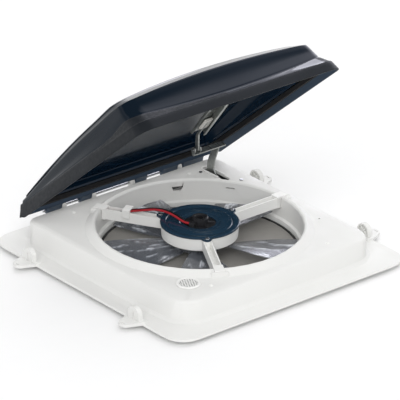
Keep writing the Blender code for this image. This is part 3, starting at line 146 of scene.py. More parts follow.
def make_camera():
    """The camera, looking down across the front left corner from far off with a long lens."""
    azimuth, elevation, roll = (math.radians(turn) for turn in CAMERA_TURNS)
    back = Vector(
        (
            math.sin(azimuth) * math.cos(elevation),
            -math.cos(azimuth) * math.cos(elevation),
            math.sin(elevation),
        )
    )
    right = Vector((math.cos(azimuth), math.sin(azimuth), 0))
    up = back.cross(right)
    turned_right = right * math.cos(roll) + up * math.sin(roll)
    turned_up = up * math.cos(roll) - right * math.sin(roll)
    data = bpy.data.cameras.new("camera")
    data.sensor_width = 36
    data.lens = CAMERA_LENS
    data.clip_end = 100
    camera = bpy.data.objects.new("camera", data)
    bpy.context.scene.collection.objects.link(camera)
    axes = Matrix((turned_right, turned_up, back)).transposed().to_4x4()
    camera.matrix_world = Matrix.Translation(CAMERA_PLACE) @ axes
    bpy.context.scene.camera = camera


def make_floor():
    """The studio's white paper floor."""
    mesh = bpy.data.meshes.new("floor")
    corners = [(x * FLOOR_REACH, y * FLOOR_REACH, FLOOR_Z) for x, y in ((-1, -1), (1, -1), (1, 1), (-1, 1))]
    mesh.from_pydata(corners, [], [(0, 1, 2, 3)])
    floor = bpy.data.objects.new("floor", mesh)
    bpy.context.scene.collection.objects.link(floor)
    material = new_material("floor_paper")
    tree = Tree(material)
    grain = tree.noise(40, 4)
    tree.join(tree.mix(grain, (0.95, 0.95, 0.95), (0.97, 0.97, 0.97)), "Base Color")
    tree.value("Roughness", 0.9)
    tree.value("Specular IOR Level", 0.1)
    mesh.materials.append(material)


def add_sun(name, energy, spread, way):
    """A soft sun that lights but isn't mirrored."""
    data = bpy.data.lights.new(name, "SUN")
    data.energy = energy
    data.angle = spread
    sun = bpy.data.objects.new(name, data)
    bpy.context.scene.collection.objects.link(sun)
    sun.rotation_euler = Vector(way).to_track_quat("Z", "Y").to_euler()
    sun.visible_glossy = False


def make_light():
    """An even tent for shade and two soft suns. Gloss sees a dark ceiling and a pale panel instead."""
    scene = bpy.context.scene
    scene.view_settings.view_transform = "Standard"
    world = bpy.data.worlds.new("studio")
    world.use_nodes = True
    scene.world = world
    nodes = world.node_tree.nodes
    links = world.node_tree.links
    place = nodes.new("ShaderNodeTexCoord")
    split = nodes.new("ShaderNodeSeparateXYZ")
    ramp = nodes.new("ShaderNodeValToRGB")
    links.new(place.outputs["Generated"], split.inputs[0])
    links.new(split.outputs["Z"], ramp.inputs[0])
    stops = ramp.color_ramp.elements
    for position, colour in CEILING[1:-1]:
        stops.new(position).color = (*colour, 1)
    for end in (0, -1):
        stops[end].color = (*CEILING[end][1], 1)

    def share(axis, span):
        made = nodes.new("ShaderNodeMapRange")
        made.inputs["From Min"].default_value, made.inputs["From Max"].default_value = span
        links.new(split.outputs[axis], made.inputs[0])
        return made.outputs[0]

    both = nodes.new("ShaderNodeMath")
    both.operation = "MULTIPLY"
    links.new(share("X", PANEL_FROM_X), both.inputs[0])
    links.new(share("Y", PANEL_FROM_Y), both.inputs[1])
    mirrored = nodes.new("ShaderNodeMix")
    mirrored.data_type = "RGBA"
    mirrored.inputs[7].default_value = PANEL_GLOW
    links.new(both.outputs[0], mirrored.inputs["Factor"])
    links.new(ramp.outputs[0], mirrored.inputs[6])
    path = nodes.new("ShaderNodeLightPath")
    mix = nodes.new("ShaderNodeMix")
    mix.data_type = "RGBA"
    links.new(path.outputs["Is Glossy Ray"], mix.inputs["Factor"])
    mix.inputs[6].default_value = TENT
    links.new(mirrored.outputs[2], mix.inputs[7])
    links.new(mix.outputs[2], nodes["Background"].inputs["Color"])
    add_sun("key", KEY, KEY_SPREAD, KEY_FROM)
    add_sun("fill", FILL, FILL_SPREAD, FILL_FROM)


# Materials --------------------------------------------------------------------------------


def new_material(name):
    material = bpy.data.materials.new(name)
    material.use_nodes = True
    return material


class Tree:
    """A material's nodes, which all read the object's own coordinates, in metres."""

    def __init__(self, material, turned=False):
        self.nodes = material.node_tree.nodes
        self.links = material.node_tree.links
        self.shader = self.nodes["Principled BSDF"]
        self.place = self.nodes.new("ShaderNodeTexCoord").outputs["Object"]
        if turned:
            self.place = self.shut_place()

    def shut_place(self):
        """The coordinates that a point of the lid has with the lid shut."""
        move = self.nodes.new("ShaderNodeVectorMath")
        move.operation = "SUBTRACT"
        move.inputs[1].default_value = HINGE
        turn = self.nodes.new("ShaderNodeVectorRotate")
        turn.rotation_type = "X_AXIS"
        turn.inputs["Angle"].default_value = LID_OPEN
        back = self.nodes.new("ShaderNodeVectorMath")
        back.inputs[1].default_value = HINGE
        self.links.new(self.place, move.inputs[0])
        self.links.new(move.outputs[0], turn.inputs["Vector"])
        self.links.new(turn.outputs[0], back.inputs[0])
        return back.outputs[0]

    def value(self, socket, value):
        self.shader.inputs[socket].default_value = value

    def join(self, output, socket):
        self.links.new(output, self.shader.inputs[socket])

    def noise(self, scale, detail, stretch=(1, 1, 1), place=None, rough=0.5):
        size = self.nodes.new("ShaderNodeMapping")
        size.inputs["Scale"].default_value = stretch
        self.links.new(place or self.place, size.inputs[0])
        noise = self.nodes.new("ShaderNodeTexNoise")
        noise.inputs["Scale"].default_value = scale
        noise.inputs["Detail"].default_value = detail
        noise.inputs["Roughness"].default_value = rough
        self.links.new(size.outputs[0], noise.inputs["Vector"])
        return noise.outputs["Fac"]

    def cells(self, scale):
        cells = self.nodes.new("ShaderNodeTexVoronoi")
        cells.inputs["Scale"].default_value = scale
        self.links.new(self.place, cells.inputs["Vector"])
        return cells

    def split(self):
        """The coordinates' X and Y."""
        made = self.nodes.new("ShaderNodeSeparateXYZ")
        self.links.new(self.place, made.inputs[0])
        return made.outputs[0], made.outputs[1]

    def math(self, operation, a, b=0.0):
        made = self.nodes.new("ShaderNodeMath")
        made.operation = operation
        for number, value in enumerate((a, b)):
            if isinstance(value, (int, float)):
                made.inputs[number].default_value = value
            else:
                self.links.new(value, made.inputs[number])
        return made.outputs[0]

    def span(self, value, low, high, to_low=0.0, to_high=1.0):
        """The value, mapped from low..high to to_low..to_high with soft ends."""
        made = self.nodes.new("ShaderNodeMapRange")
        made.interpolation_type = "SMOOTHSTEP"
        self.links.new(value, made.inputs["Value"])
        ends = {"From Min": low, "From Max": high, "To Min": to_low, "To Max": to_high}
        for socket, number in ends.items():
            made.inputs[socket].default_value = number
        return made.outputs[0]

    def mix(self, share, a, b):
        """From a to b by a share, where a and b are colours or outputs."""
        made = self.nodes.new("ShaderNodeMix")
        made.data_type = "RGBA"
        self.links.new(share, made.inputs["Factor"])
        for socket, colour in ((made.inputs[6], a), (made.inputs[7], b)):
            if isinstance(colour, tuple):
                socket.default_value = (*colour, 1)
            else:
                self.links.new(colour, socket)
        return made.outputs[2]

    def bump(self, heights, strength, distance):
        """Bumps laid one over another, each a height output with its own strength."""
        last = None
        for height, share in heights:
            made = self.nodes.new("ShaderNodeBump")
            made.inputs["Strength"].default_value = strength * share
            made.inputs["Distance"].default_value = distance
            self.links.new(height, made.inputs["Height"])
            if last is not None:
                self.links.new(last, made.inputs["Normal"])
            last = made.outputs[0]
        self.join(last, "Normal")


def white_plastic(name, tone, rough):
    """White moulding: a fine spark-eroded grain, slow colour drift and a little handling dust."""
    material = new_material(name)
    tree = Tree(material)
    drift = tree.noise(9, 3)
    speck = tree.span(tree.noise(420, 4), 0.62, 0.78)
    darker = tuple(c * 0.965 for c in tone)
    colour = tree.mix(drift, tone, darker)
    colour = tree.mix(tree.math("MULTIPLY", speck, 0.05), colour, (0.45, 0.43, 0.40))
    tree.join(colour, "Base Color")
    tree.join(tree.span(tree.noise(60, 3), 0.3, 0.7, rough - 0.05, rough + 0.09), "Roughness")
    tree.value("Specular IOR Level", 0.2)
    tree.bump([(tree.noise(2600, 2), 0.35), (tree.noise(70, 2), 0.22)], 0.25, 0.0002)
    return material


def smoked_gloss(name, shine):
    """The lid's outer skin: glossy black with a faint blue cast, orange peel and hairline swirls."""
    material = new_material(name)
    tree = Tree(material, turned=True)
    drift = tree.noise(6, 2)
    tree.join(tree.mix(drift, (0.0045, 0.009, 0.015), (0.008, 0.014, 0.023)), "Base Color")
    swirl = tree.noise(900, 2, (1, 0.04, 0.3))
    tree.join(tree.span(swirl, 0.35, 0.8, 0.045, 0.10), "Roughness")
    tree.value("Specular IOR Level", shine)
    tree.bump([(tree.noise(26, 2), 0.5), (tree.noise(380, 2), 0.05)], 0.05, 0.0006)
    return material


def smoked_matte():
    """The lid's rim band and flanks: the same plastic with a fine matte grain."""
    material = new_material("smoked_matte")
    tree = Tree(material, turned=True)
    drift = tree.noise(14, 3)
    tree.join(tree.mix(drift, (0.011, 0.013, 0.016), (0.020, 0.023, 0.027)), "Base Color")
    tree.join(tree.span(tree.noise(220, 3), 0.3, 0.7, 0.36, 0.52), "Roughness")
    tree.value("Specular IOR Level", 0.12)
    tree.bump([(tree.noise(2200, 2), 0.6), (tree.noise(90, 2), 0.25)], 0.3, 0.0002)
    return material


def smoked_inside():
    """The lid's underside: deep blue where light comes through the smoked plastic."""
    material = new_material("smoked_inside")
    tree = Tree(material, turned=True)
    drift = tree.noise(7, 3)
    tree.join(tree.mix(drift, (0.0025, 0.009, 0.020), (0.005, 0.016, 0.033)), "Base Color")
    tree.join(tree.span(tree.noise(160, 3), 0.3, 0.7, 0.10, 0.20), "Roughness")
    tree.value("Specular IOR Level", 0.3)
    tree.bump([(tree.noise(22, 2), 0.6), (tree.noise(500, 2), 0.06)], 0.12, 0.0006)
    return material


def skirt_inside():
    """The inner face of the lid's rim band: a duller slate blue, painted light that comes through the
    smoked plastic.
    """
    material = new_material("skirt_inside")
    tree = Tree(material, turned=True)
    drift = tree.noise(12, 3)
    tree.join(tree.mix(drift, (0.030, 0.052, 0.085), (0.046, 0.074, 0.115)), "Base Color")
    tree.join(tree.span(tree.noise(260, 3), 0.3, 0.7, 0.30, 0.45), "Roughness")
    tree.bump([(tree.noise(1800, 2), 0.5)], 0.3, 0.0002)
    return material


def navy_gloss():
    """The motor's cover: near-black navy plastic with a soft sheen."""
    material = new_material("navy_gloss")
    tree = Tree(material)
    drift = tree.noise(30, 3)
    tree.join(tree.mix(drift, (0.012, 0.034, 0.062), (0.017, 0.044, 0.076)), "Base Color")
    tree.join(tree.span(tree.noise(220, 3), 0.3, 0.7, 0.10, 0.17), "Roughness")
    tree.value("Specular IOR Level", 0.6)
    tree.bump([(tree.noise(70, 2), 0.3)], 0.12, 0.0002)
    return material


def black_moulding():
    material = new_material("black_moulding")
    tree = Tree(material)
    tree.join(tree.mix(tree.noise(60, 3), (0.010, 0.010, 0.012), (0.022, 0.022, 0.024)), "Base Color")
    tree.join(tree.span(tree.noise(300, 3), 0.3, 0.7, 0.30, 0.50), "Roughness")
    tree.bump([(tree.noise(1500, 2), 0.5)], 0.35, 0.0002)
    return material


def foam():
    """Closed-cell foam: brown-black, with open pores on its cut faces."""
    material = new_material("foam_seal")
    tree = Tree(material)
    pores = tree.cells(700)
    tone = tree.mix(tree.noise(40, 4), (0.005, 0.005, 0.006), (0.013, 0.012, 0.012))
    tree.join(tone, "Base Color")
    tree.value("Roughness", 0.95)
    tree.bump([(pores.outputs["Distance"], 1.0), (tree.noise(160, 3), 0.5)], 0.7, 0.0006)
    return material


def galvanised():
    """Zinc-plated sheet: soft spangle, rolling lines and dulled patches."""
    material = new_material("galvanised")
    tree = Tree(material)
    tone = (0.52, 0.54, 0.52)
    spangle = tree.cells(260)
    darker = tuple(c * 0.72 for c in tone)
    dulled = tuple(c * 0.6 for c in tone)
    colour = tree.mix(spangle.outputs["Color"], darker, tone)
    colour = tree.mix(tree.span(tree.noise(45, 4), 0.45, 0.75), colour, dulled)
    tree.join(colour, "Base Color")
    tree.value("Metallic", 0.9)
    lines = tree.noise(900, 2, (1, 0.03, 0.03))
    tree.join(tree.span(lines, 0.3, 0.7, 0.26, 0.46), "Roughness")
    tree.bump([(lines, 0.3), (tree.noise(300, 3), 0.3)], 0.25, 0.0002)
    return material


def plated(name, tone, rough):
    """A plated or turned metal with fine turning marks."""
    material = new_material(name)
    tree = Tree(material)
    tree.join(tree.mix(tree.noise(350, 3), tone, tuple(c * 0.75 for c in tone)), "Base Color")
    tree.value("Metallic", 1.0)
    tree.join(tree.span(tree.noise(1200, 2), 0.3, 0.7, rough - 0.06, rough + 0.1), "Roughness")
    tree.bump([(tree.noise(2400, 2), 0.3)], 0.2, 0.0001)
    return material


def insulation(name, tone, rough):
    """A lead's soft PVC skin."""
    material = new_material(name)
    tree = Tree(material)
    tree.join(tree.mix(tree.noise(200, 3), tone, tuple(c * 0.6 for c in tone)), "Base Color")
    tree.join(tree.span(tree.noise(700, 2), 0.3, 0.7, rough - 0.06, rough + 0.08), "Roughness")
    tree.bump([(tree.noise(900, 2), 0.5)], 0.2, 0.0002)
    return material


def smoked_blade():
    """Clear smoked plastic: see-through, with painted highlights drawn as bright streaks that run out along
    each blade.
    """
    material = new_material("smoked_blade")
    tree = Tree(material)
    x, y = tree.split()
    squares = tree.math("ADD", tree.math("MULTIPLY", x, x), tree.math("MULTIPLY", y, y))
    radius = tree.math("POWER", squares, 0.5)
    turn = tree.math("ARCTAN2", y, x)
    join = tree.nodes.new("ShaderNodeCombineXYZ")
    tree.links.new(tree.math("MULTIPLY", radius, 9.0), join.inputs[0])
    tree.links.new(tree.math("MULTIPLY", turn, 3.2), join.inputs[1])
    streaks = tree.noise(2.6, 5, (1, 1, 1), join.outputs[0], 0.62)
    # Painted highlight: the brightest streaks are pale and less see-through.
    bright = tree.span(streaks, 0.49, 0.68)
    colour = tree.mix(tree.noise(25, 3), (0.10, 0.11, 0.13), (0.21, 0.23, 0.27))
    tree.join(tree.mix(bright, colour, (0.85, 0.88, 0.94)), "Base Color")
    tree.join(tree.span(streaks, 0.2, 0.8, 0.10, 0.24), "Roughness")
    tree.join(tree.span(bright, 0, 1, 0.5, 0.92), "Alpha")
    tree.value("Coat Weight", 0.5)
    tree.value("Coat Roughness", 0.05)
    tree.bump([(streaks, 1.0)], 0.35, 0.0012)
    return material


def woven_screen():
    """The insect screen's black weave, drawn as two sets of fine wires."""
    material = new_material("woven_screen")
    tree = Tree(material)
    x, y = tree.split()
    across = tree.math("SINE", tree.math("MULTIPLY", x, 3600.0))
    along = tree.math("SINE", tree.math("MULTIPLY", y, 3600.0))
    weave = tree.math("MAXIMUM", across, along)
    wire = tree.span(weave, 0.1, 0.6)
    tree.join(tree.mix(wire, (0.17, 0.165, 0.155), (0.40, 0.385, 0.36)), "Base Color")
    tree.join(tree.span(tree.noise(80, 3), 0.3, 0.7, 0.5, 0.7), "Roughness")
    tree.bump([(weave, 1.0)], 0.6, 0.0004)
    return material


def nylon():
    material = new_material("natural_nylon")
    tree = Tree(material)
    tree.join(tree.mix(tree.noise(80, 3), (0.66, 0.65, 0.59), (0.74, 0.73, 0.68)), "Base Color")
    tree.join(tree.span(tree.noise(400, 3), 0.3, 0.7, 0.40, 0.58), "Roughness")
    tree.bump([(tree.noise(1400, 2), 0.4)], 0.3, 0.0002)
    return material


# Meshes -----------------------------------------------------------------------------------


def piece(name, mesh, body, materials, replaces=()):
    """A piece of the visual model, which rides on a body and may stand for CAD nodes."""
    obj = bpy.data.objects.new(name, mesh)
    bpy.context.scene.collection.objects.link(obj)
    mesh.materials.clear()
    for material in materials:
        mesh.materials.append(material)
    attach(obj, body)
    if replaces:
        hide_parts(*replaces)
    return obj


def grid_mesh(name, loops, wrap=False):
    """A closed surface through equal loops of points, capped at its ends or wrapped from last to first."""
    count = len(loops[0])
    points = [tuple(p) for loop in loops for p in loop]
    faces = []
    rows = len(loops) if wrap else len(loops) - 1
    for row in range(rows):
        after = (row + 1) % len(loops)
        for i in range(count):
            j = (i + 1) % count
            faces.append((row * count + i, row * count + j, after * count + j, after * count + i))
    if not wrap:
        faces.append(tuple(range(count)))
        faces.append(tuple(reversed(range((len(loops) - 1) * count, len(loops) * count))))
    mesh = bpy.data.meshes.new(name)
    mesh.from_pydata(points, [], faces)
    outward(mesh)
    return mesh


def outward(mesh):
    """Turns a closed mesh's faces to look outwards."""
    work = bmesh.new()
    work.from_mesh(mesh)
    bmesh.ops.recalc_face_normals(work, faces=work.faces)
    if work.calc_volume(signed=True) < 0:
        bmesh.ops.reverse_faces(work, faces=work.faces)
    work.to_mesh(mesh)
    work.free()


def smooth(mesh, angle):
    mesh.shade_smooth()
    mesh.set_sharp_from_angle(angle=math.radians(angle))


def softened(node, material, width):
    """A piece with a CAD node's shape, cleaned of needless edges and rounded along its sharp ones."""
    source = NODES[node]
    mesh = source.data.copy()
    work = bmesh.new()
    work.from_mesh(mesh)
    bmesh.ops.remove_doubles(work, verts=work.verts, dist=WELD)
    bmesh.ops.dissolve_limit(work, angle_limit=FLAT, verts=work.verts, edges=work.edges)
    work.to_mesh(mesh)
    work.free()
    obj = piece(f"{node}_skin", mesh, source["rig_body"], [material], (node,))
    round_edges(obj, width)
    return obj


def smooth_step(value, low, high):
    share = min(max((value - low) / (high - low), 0), 1)
    return share * share * (3 - 2 * share)


def arc(centre, radius, start, end, steps):
    return [
        (
            centre[0] + radius * math.cos(math.radians(start + (end - start) * i / steps)),
            centre[1] + radius * math.sin(math.radians(start + (end - start) * i / steps)),
        )
        for i in range(steps + 1)
    ]


def on_curve(p, q, r, s, t):
    """The point a share t of the way from q to r on the Catmull-Rom curve through p, q, r and s."""
    square = 2 * p - 5 * q + 4 * r - s
    cube = 3 * q - p - 3 * r + s
    return 0.5 * (2 * q + (r - p) * t + square * t**2 + cube * t**3)


# Lid --------------------------------------------------------------------------------------


def crown_height(x, y):
    """How high the lid's top stands above its rim."""
    along = min(max((LID_HALF - y - LID_SLOPE_START) / LID_SLOPE_LENGTH, 0), 1.1)
    rise = 1 - abs(1 - along) ** LID_SLOPE_BEND
    crown = CROWN * (1 - min(abs(x) / CROWN_HALF, 1) ** 2) * smooth_step(along, 0, 0.5)
    brow = BROW * smooth_step(-y, *BROW_RUN)
    return LID_REAR_HEIGHT + (LID_FRONT_HEIGHT - LID_REAR_HEIGHT) * rise + crown + brow


def rim_height(y):
    """How much higher the lid's lower edge is at the hinge than elsewhere."""
    return LID_SKIRT_LIFT * smooth_step(y, *LID_SKIRT_RUN)


def lid_ring(level):
    """One level of the shut lid, from its insets, corner radii, share of the crown and height.

    The rim value lifts the level at the hinge. Pinch and flare narrow its front and widen its rear.
    """
    front, side, rear, corner_front, corner_rear, share, height, rim, pinch, flare = level
    half = LID_HALF + LID_SIDE_REACH - side * MM
    low = -LID_HALF + front * MM
    high = LID_HALF - rear * MM
    quarters = (
        (half, low, 1, -1, corner_front * MM, 12, -90),
        (half, high, 1, 1, corner_rear * MM, 6, 0),
        (-half, high, -1, 1, corner_rear * MM, 6, 90),
        (-half, low, -1, -1, corner_front * MM, 12, 180),
    )
    stops = (0.03, 0.08, 0.15, 0.24, 0.34, 0.45, 0.56, 0.67, 0.77, 0.86, 0.93, 0.97)
    corners = [
        arc((x - sx * radius, y - sy * radius), radius, start, start + 90, steps)
        for x, y, sx, sy, radius, steps, start in quarters
    ]
    points = []
    for number, corner in enumerate(corners):
        points += corner
        (x, y), (end_x, end_y) = corner[-1], corners[(number + 1) % 4][0]
        points += [(x + (end_x - x) * stop, y + (end_y - y) * stop) for stop in stops]
    loop = []
    for x, y in points:
        narrowed = pinch * MM / half * smooth_step(-y, *PINCH_RUN)
        widened = flare * MM / half * smooth_step(y, *FLARE_RUN)
        x *= 1 - narrowed + widened
        bowed = smooth_step(front, 7, 18) * (1 - smooth_step(front, 19, 35))
        bowed *= (x / half) ** 2 * smooth_step(-y, *FOOT_RUN)
        y += FOOT_BOW * bowed
        rise = crown_height(x, y) * share + height * MM + rim_height(y) * rim + FOOT_RISE * bowed
        loop.append((x, y, LID_RIM_Z + rise))
    return loop


def between(levels, counts):
    """Levels with others blended in between along a Catmull-Rom curve, so many for each step."""
    made = []
    for i, count in enumerate(counts):
        a = levels[max(i - 1, 0)]
        b = levels[i]
        c = levels[i + 1]
        d = levels[min(i + 2, len(levels) - 1)]
        for step in range(count):
            t = step / count
            made.append(tuple(on_curve(*four, t) for four in zip(a, b, c, d)))
    made.append(levels[-1])
    return made


def lid_top(less):
    """The levels from the lid's shoulder to the middle of its top, sunk by so many mm."""
    return [
        (62 + less / 2, 22 + less, 14 + less, 22, 10, 1, -less, 0, 0, 0),
        (84, 70, 56, 24, 12, 1, -less, 0, 0, 0),
        (112, 118, 104, 20, 10, 1, -less, 0, 0, 0),
        (150, 156, 150, 12, 8, 1, -less, 0, 0, 0),
    ]


def lid_outside():
    """The lid's outer levels in three runs: the rim band, the ledge above it, then the flank and top."""
    band = [
        (0.3, 0.3, -0.3, 22.7, 3.7, 0, 0, 1, 0, 0),
        (0, 0, -0.6, 23, 4, 0, 0.5, 1, 0, 0),
        (5.7, 2.4, 0.5, 22, 4, 0, 15.3, 0, 0, -3.9),
        (6.4, 2.6, 0.6, 22, 4, 0, 16.1, 0, 0, -4),
    ]
    ledge = [
        (7.4, 2.6, 0.6, 21.8, 4, 0, 16.3, 0, 0.2, -4.1),
        (14, 3.2, 0.7, 20, 4, 0, 19.2, 0, 3.8, -5),
        (18, 4.6, 0.9, 20, 4, 0, 21.2, 0, 4, -4.9),
    ]
    flank = [
        (18.6, 5, 1, 19.8, 4, 0.04, 20.6, 0, 3.6, -4.6),
        (27, 9.5, 1.4, 17, 4, 0.58, 0, 0, 0, -1),
        (34, 12.2, 2.8, 16, 5, 0.83, 0, 0, 0, -2),
        (36.4, 13.6, 4, 16.3, 5.6, 0.868, 0, 0, 0, -1.8),
        (50, 17.4, 8, 17.2, 7, 0.94, 0, 0, 0, -1),
        *lid_top(0),
    ]
    return between(band, (1, 3, 1)), between(ledge, (3, 3)), between(flank, (6, 4, 2, 3, 4, 6, 6, 6))


def lid_inside():
    """The lid's inner levels, from the rim up to the underside of its top."""
    levels = [
        (2.4, 2.4, 1.8, 21, 3.5, 0, 0.1, 1, 0, 0),
        (8.5, 5, 3.1, 20, 3.5, 0, 15.8, 0, 0, -4),
        (17.2, 17.2, 17.2, 20, 4, 0, 16.4, 0, 0, 0),
        (17.8, 17.8, 17.8, 20, 4, 0, 18.4, 0, 0, 0),
        (18.4, 18.4, 18.4, 20, 4, 0, 19.4, 0, 0, 0),
        (31, 14, 6, 15, 3, 0.56, -0.8, 0, 0, -1),
        (40, 17, 8, 14, 4, 0.82, -1.6, 0, 0, -2),
        (52, 20, 12, 15, 6, 0.93, -2.2, 0, 0, -1),
        *lid_top(2.6),
    ]
    return between(levels, (2, 1, 1, 1, 1, 4, 3, 3, 4, 4, 4))


def make_lid(gloss, matte, inside, skirt, highlight_gloss):
    """The lid's shell. Its brow and the right half of its ledge carry a painted highlight, a copy of its
    gloss that mirrors far more.
    """
    band, ledge, flank = lid_outside()
    outer = [*band, *ledge, *flank]
    loops = [lid_ring(level) for level in [*reversed(outer), *lid_inside()]]
    mesh = grid_mesh("lid_skin", loops)
    count = len(loops[0])
    ledge_row = len(flank) + 1
    band_row = len(outer) - len(band)
    kinds = []
    for number, polygon in enumerate(mesh.polygons):
        row = number // count
        x, y = polygon.center.xy
        in_front = y < BROW_REACH and abs(x) < BROW_HALF
        # The brow rows and the right half of the ledge in front take the painted highlight.
        if in_front and (row in BROW_ROWS or (ledge_row <= row < band_row and x > 0)):
            kind = highlight_gloss
        elif row < ledge_row:
            kind = gloss
        elif row < len(outer):
            kind = matte
        elif row < len(outer) + SKIRT_ROWS:
            kind = skirt
        else:
            kind = inside
        kinds.append(kind)
    kinds[-2:] = [gloss, inside]
    mesh.transform(LID_TURN)
    materials = (gloss, matte, inside, skirt, highlight_gloss)
    lid = piece("lid_skin", mesh, "lid", materials, ("lid_dome",))
    for polygon, kind in zip(mesh.polygons, kinds):
        polygon.material_index = materials.index(kind)
    smooth(mesh, 50)
    # Smoked plastic lets some light through, so the lid doesn't hold back the tent's light.
    lid.visible_diffuse = False


def prism_x(name, outline, low, high):
    """A solid between two values of X, of an outline of (y, z) points."""
    return grid_mesh(name, [[(x, y, z) for y, z in outline] for x in (low, high)])


def make_knuckles(material):
    """The lid's knuckles, which reach from its rear skirt round the hinge rod."""
    foot = LID_RIM_Z + LID_SKIRT_LIFT + 0.2 * MM
    outline = [(KNUCKLE_FOOT_Y, foot), (190 * MM, foot - 1.5 * MM)]
    outline += arc((HINGE.y, HINGE.z), KNUCKLE_RADIUS, -120, 110, 20)
    outline += [(KNUCKLE_FOOT_Y, LID_RIM_Z + KNUCKLE_FOOT_HEIGHT)]
    for number, (low, high) in enumerate(LID_KNUCKLES, 1):
        mesh = prism_x("knuckle", outline, low * MM, high * MM)
        mesh.transform(LID_TURN)
        knuckle = piece(f"lid_knuckle_{number}", mesh, "lid", [material])
        round_edges(knuckle, 0.5 * MM)


def round_edges(obj, width, angle=28):
    """Rounds a piece's edges that are sharper than an angle."""
    bevel = obj.modifiers.new("edges", "BEVEL")
    bevel.width = width
    bevel.segments = 2
    bevel.limit_method = "ANGLE"
    bevel.angle_limit = math.radians(angle)
    bevel.use_clamp_overlap = True
    smooth(obj.data, 40)


# Leads ------------------------------------------------------------------------------------

WIRE_RADIUS = 1.7 * MM
WIRE_APART = 2.1 * MM
WIRE_ROUTE = (
    (146.7, 0, 38),
    (134, 0, 38.3),
    (123, 0, 41.6),
    (113, 0, 45.3),
    (103, 0, 48.2),
    (93, 0, 50.6),
    (84, 0, 52.8),
    (75, -0.2, 54.8),
    (66, 0, 56),
    (57, 0.8, 56.2),
    (48, 3, 55.8),
    (39.5, 6, 55),
    (31.5, 9.6, 53.8),
    (24, 13, 52.2),
    (17, 15.4, 51),
    (10, 16, 50.7),
)


def lead_route(side):
    """A lead's way along the spoke at 120 degrees, over the cover's rim and down to the brush cap."""
    turn = Matrix.Rotation(math.radians(120), 3, "Z")
    route = [Vector(point) * MM for point in WIRE_ROUTE]
    beside = []
    for number, point in enumerate(route):
        way = route[min(number + 1, len(route) - 1)] - route[max(number - 1, 0)]
        across = Vector((way.y, -way.x, 0)).normalized()
        beside.append(turn @ (point + across * side * WIRE_APART))
    return beside


def smooth_route(route, count):
    """Points along the Catmull-Rom curve through a route."""
    ends = [2 * route[0] - route[1], *route, 2 * route[-1] - route[-2]]
    spans = len(route) - 1
    points = []
    for i in range(count):
        place_on = spans * i / (count - 1)
        span = min(int(place_on), spans - 1)
        t = place_on - span
        points.append(on_curve(*ends[span : span + 4], t))
    return points


def make_leads(red, black):
    """The motor's two leads, each a round cord along its route."""
    for name, side, material in (("motor_lead_red", 1, red), ("motor_lead_black", -1, black)):
        points = smooth_route(lead_route(side), 96)
        curve = bpy.data.curves.new(f"{name}_skin", "CURVE")
        curve.dimensions = "3D"
        curve.bevel_depth = WIRE_RADIUS
        curve.bevel_resolution = 6
        curve.use_fill_caps = True
        spline = curve.splines.new("POLY")
        spline.points.add(len(points) - 1)
        for point, target in zip(spline.points, points):
            point.co = (*target, 1)
        lead = bpy.data.objects.new(f"{name}_skin", curve)
        bpy.context.scene.collection.objects.link(lead)
        curve.materials.append(material)
        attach(lead, "base")
        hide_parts(name)


# Small parts ------------------------------------------------------------------------------


def circle(radius, z, count, centre=(0, 0)):
    """Points round a level circle."""
    turns = [math.tau * i / count for i in range(count)]
    return [(centre[0] + radius * math.cos(t), centre[1] + radius * math.sin(t), z) for t in turns]


def cross_outline(reach, half):
    """The twelve corners of a plus sign."""
    quarter = [(reach, -half), (reach, half), (half, half)]
    points = []
    for turn in range(4):
        c, n = round(math.cos(turn * math.pi / 2)), round(math.sin(turn * math.pi / 2))
        points += [(c * x - n * y, n * x + c * y) for x, y in quarter]
    return points


def screw_skin(node, place, radius, height, material, turn):
    """A pan-head screw with a cross recess in its head."""
    work = bmesh.new()
    profile = ((radius, 0), (radius, 0.45 * height), (radius * 0.9, 0.8 * height), (radius * 0.7, height))
    rows = [[work.verts.new(p) for p in circle(r, z, SCREW_SIDES)] for r, z in profile]
    for low, high in zip(rows, rows[1:]):
        for i in range(SCREW_SIDES):
            j = (i + 1) % SCREW_SIDES
            work.faces.new((low[i], low[j], high[j], high[i]))
    work.faces.new(reversed(rows[0]))
    cross = cross_outline(radius * 0.52, radius * 0.13)
    brim = [work.verts.new((x, y, height)) for x, y in cross]
    floor = [work.verts.new((x * 0.86, y * 0.86, height * 0.35)) for x, y in cross]
    rim = rows[-1]
    edges = [work.edges.get((rim[i], rim[(i + 1) % SCREW_SIDES])) for i in range(SCREW_SIDES)]
    for i in range(12):
        j = (i + 1) % 12
        edges.append(work.edges.new((brim[i], brim[j])))
    bmesh.ops.triangle_fill(work, edges=edges, use_beauty=True)
    for i in range(12):
        j = (i + 1) % 12
        work.faces.new((brim[j], brim[i], floor[i], floor[j]))
    work.faces.new(floor)
    bmesh.ops.recalc_face_normals(work, faces=work.faces)
    mesh = bpy.data.meshes.new(node)
    work.to_mesh(mesh)
    work.free()
    mesh.transform(Matrix.Translation(place) @ Matrix.Rotation(turn, 4, "Z"))
    piece(f"{node}_head", mesh, NODES[node]["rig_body"], [material], (node,))
    smooth(mesh, 30)


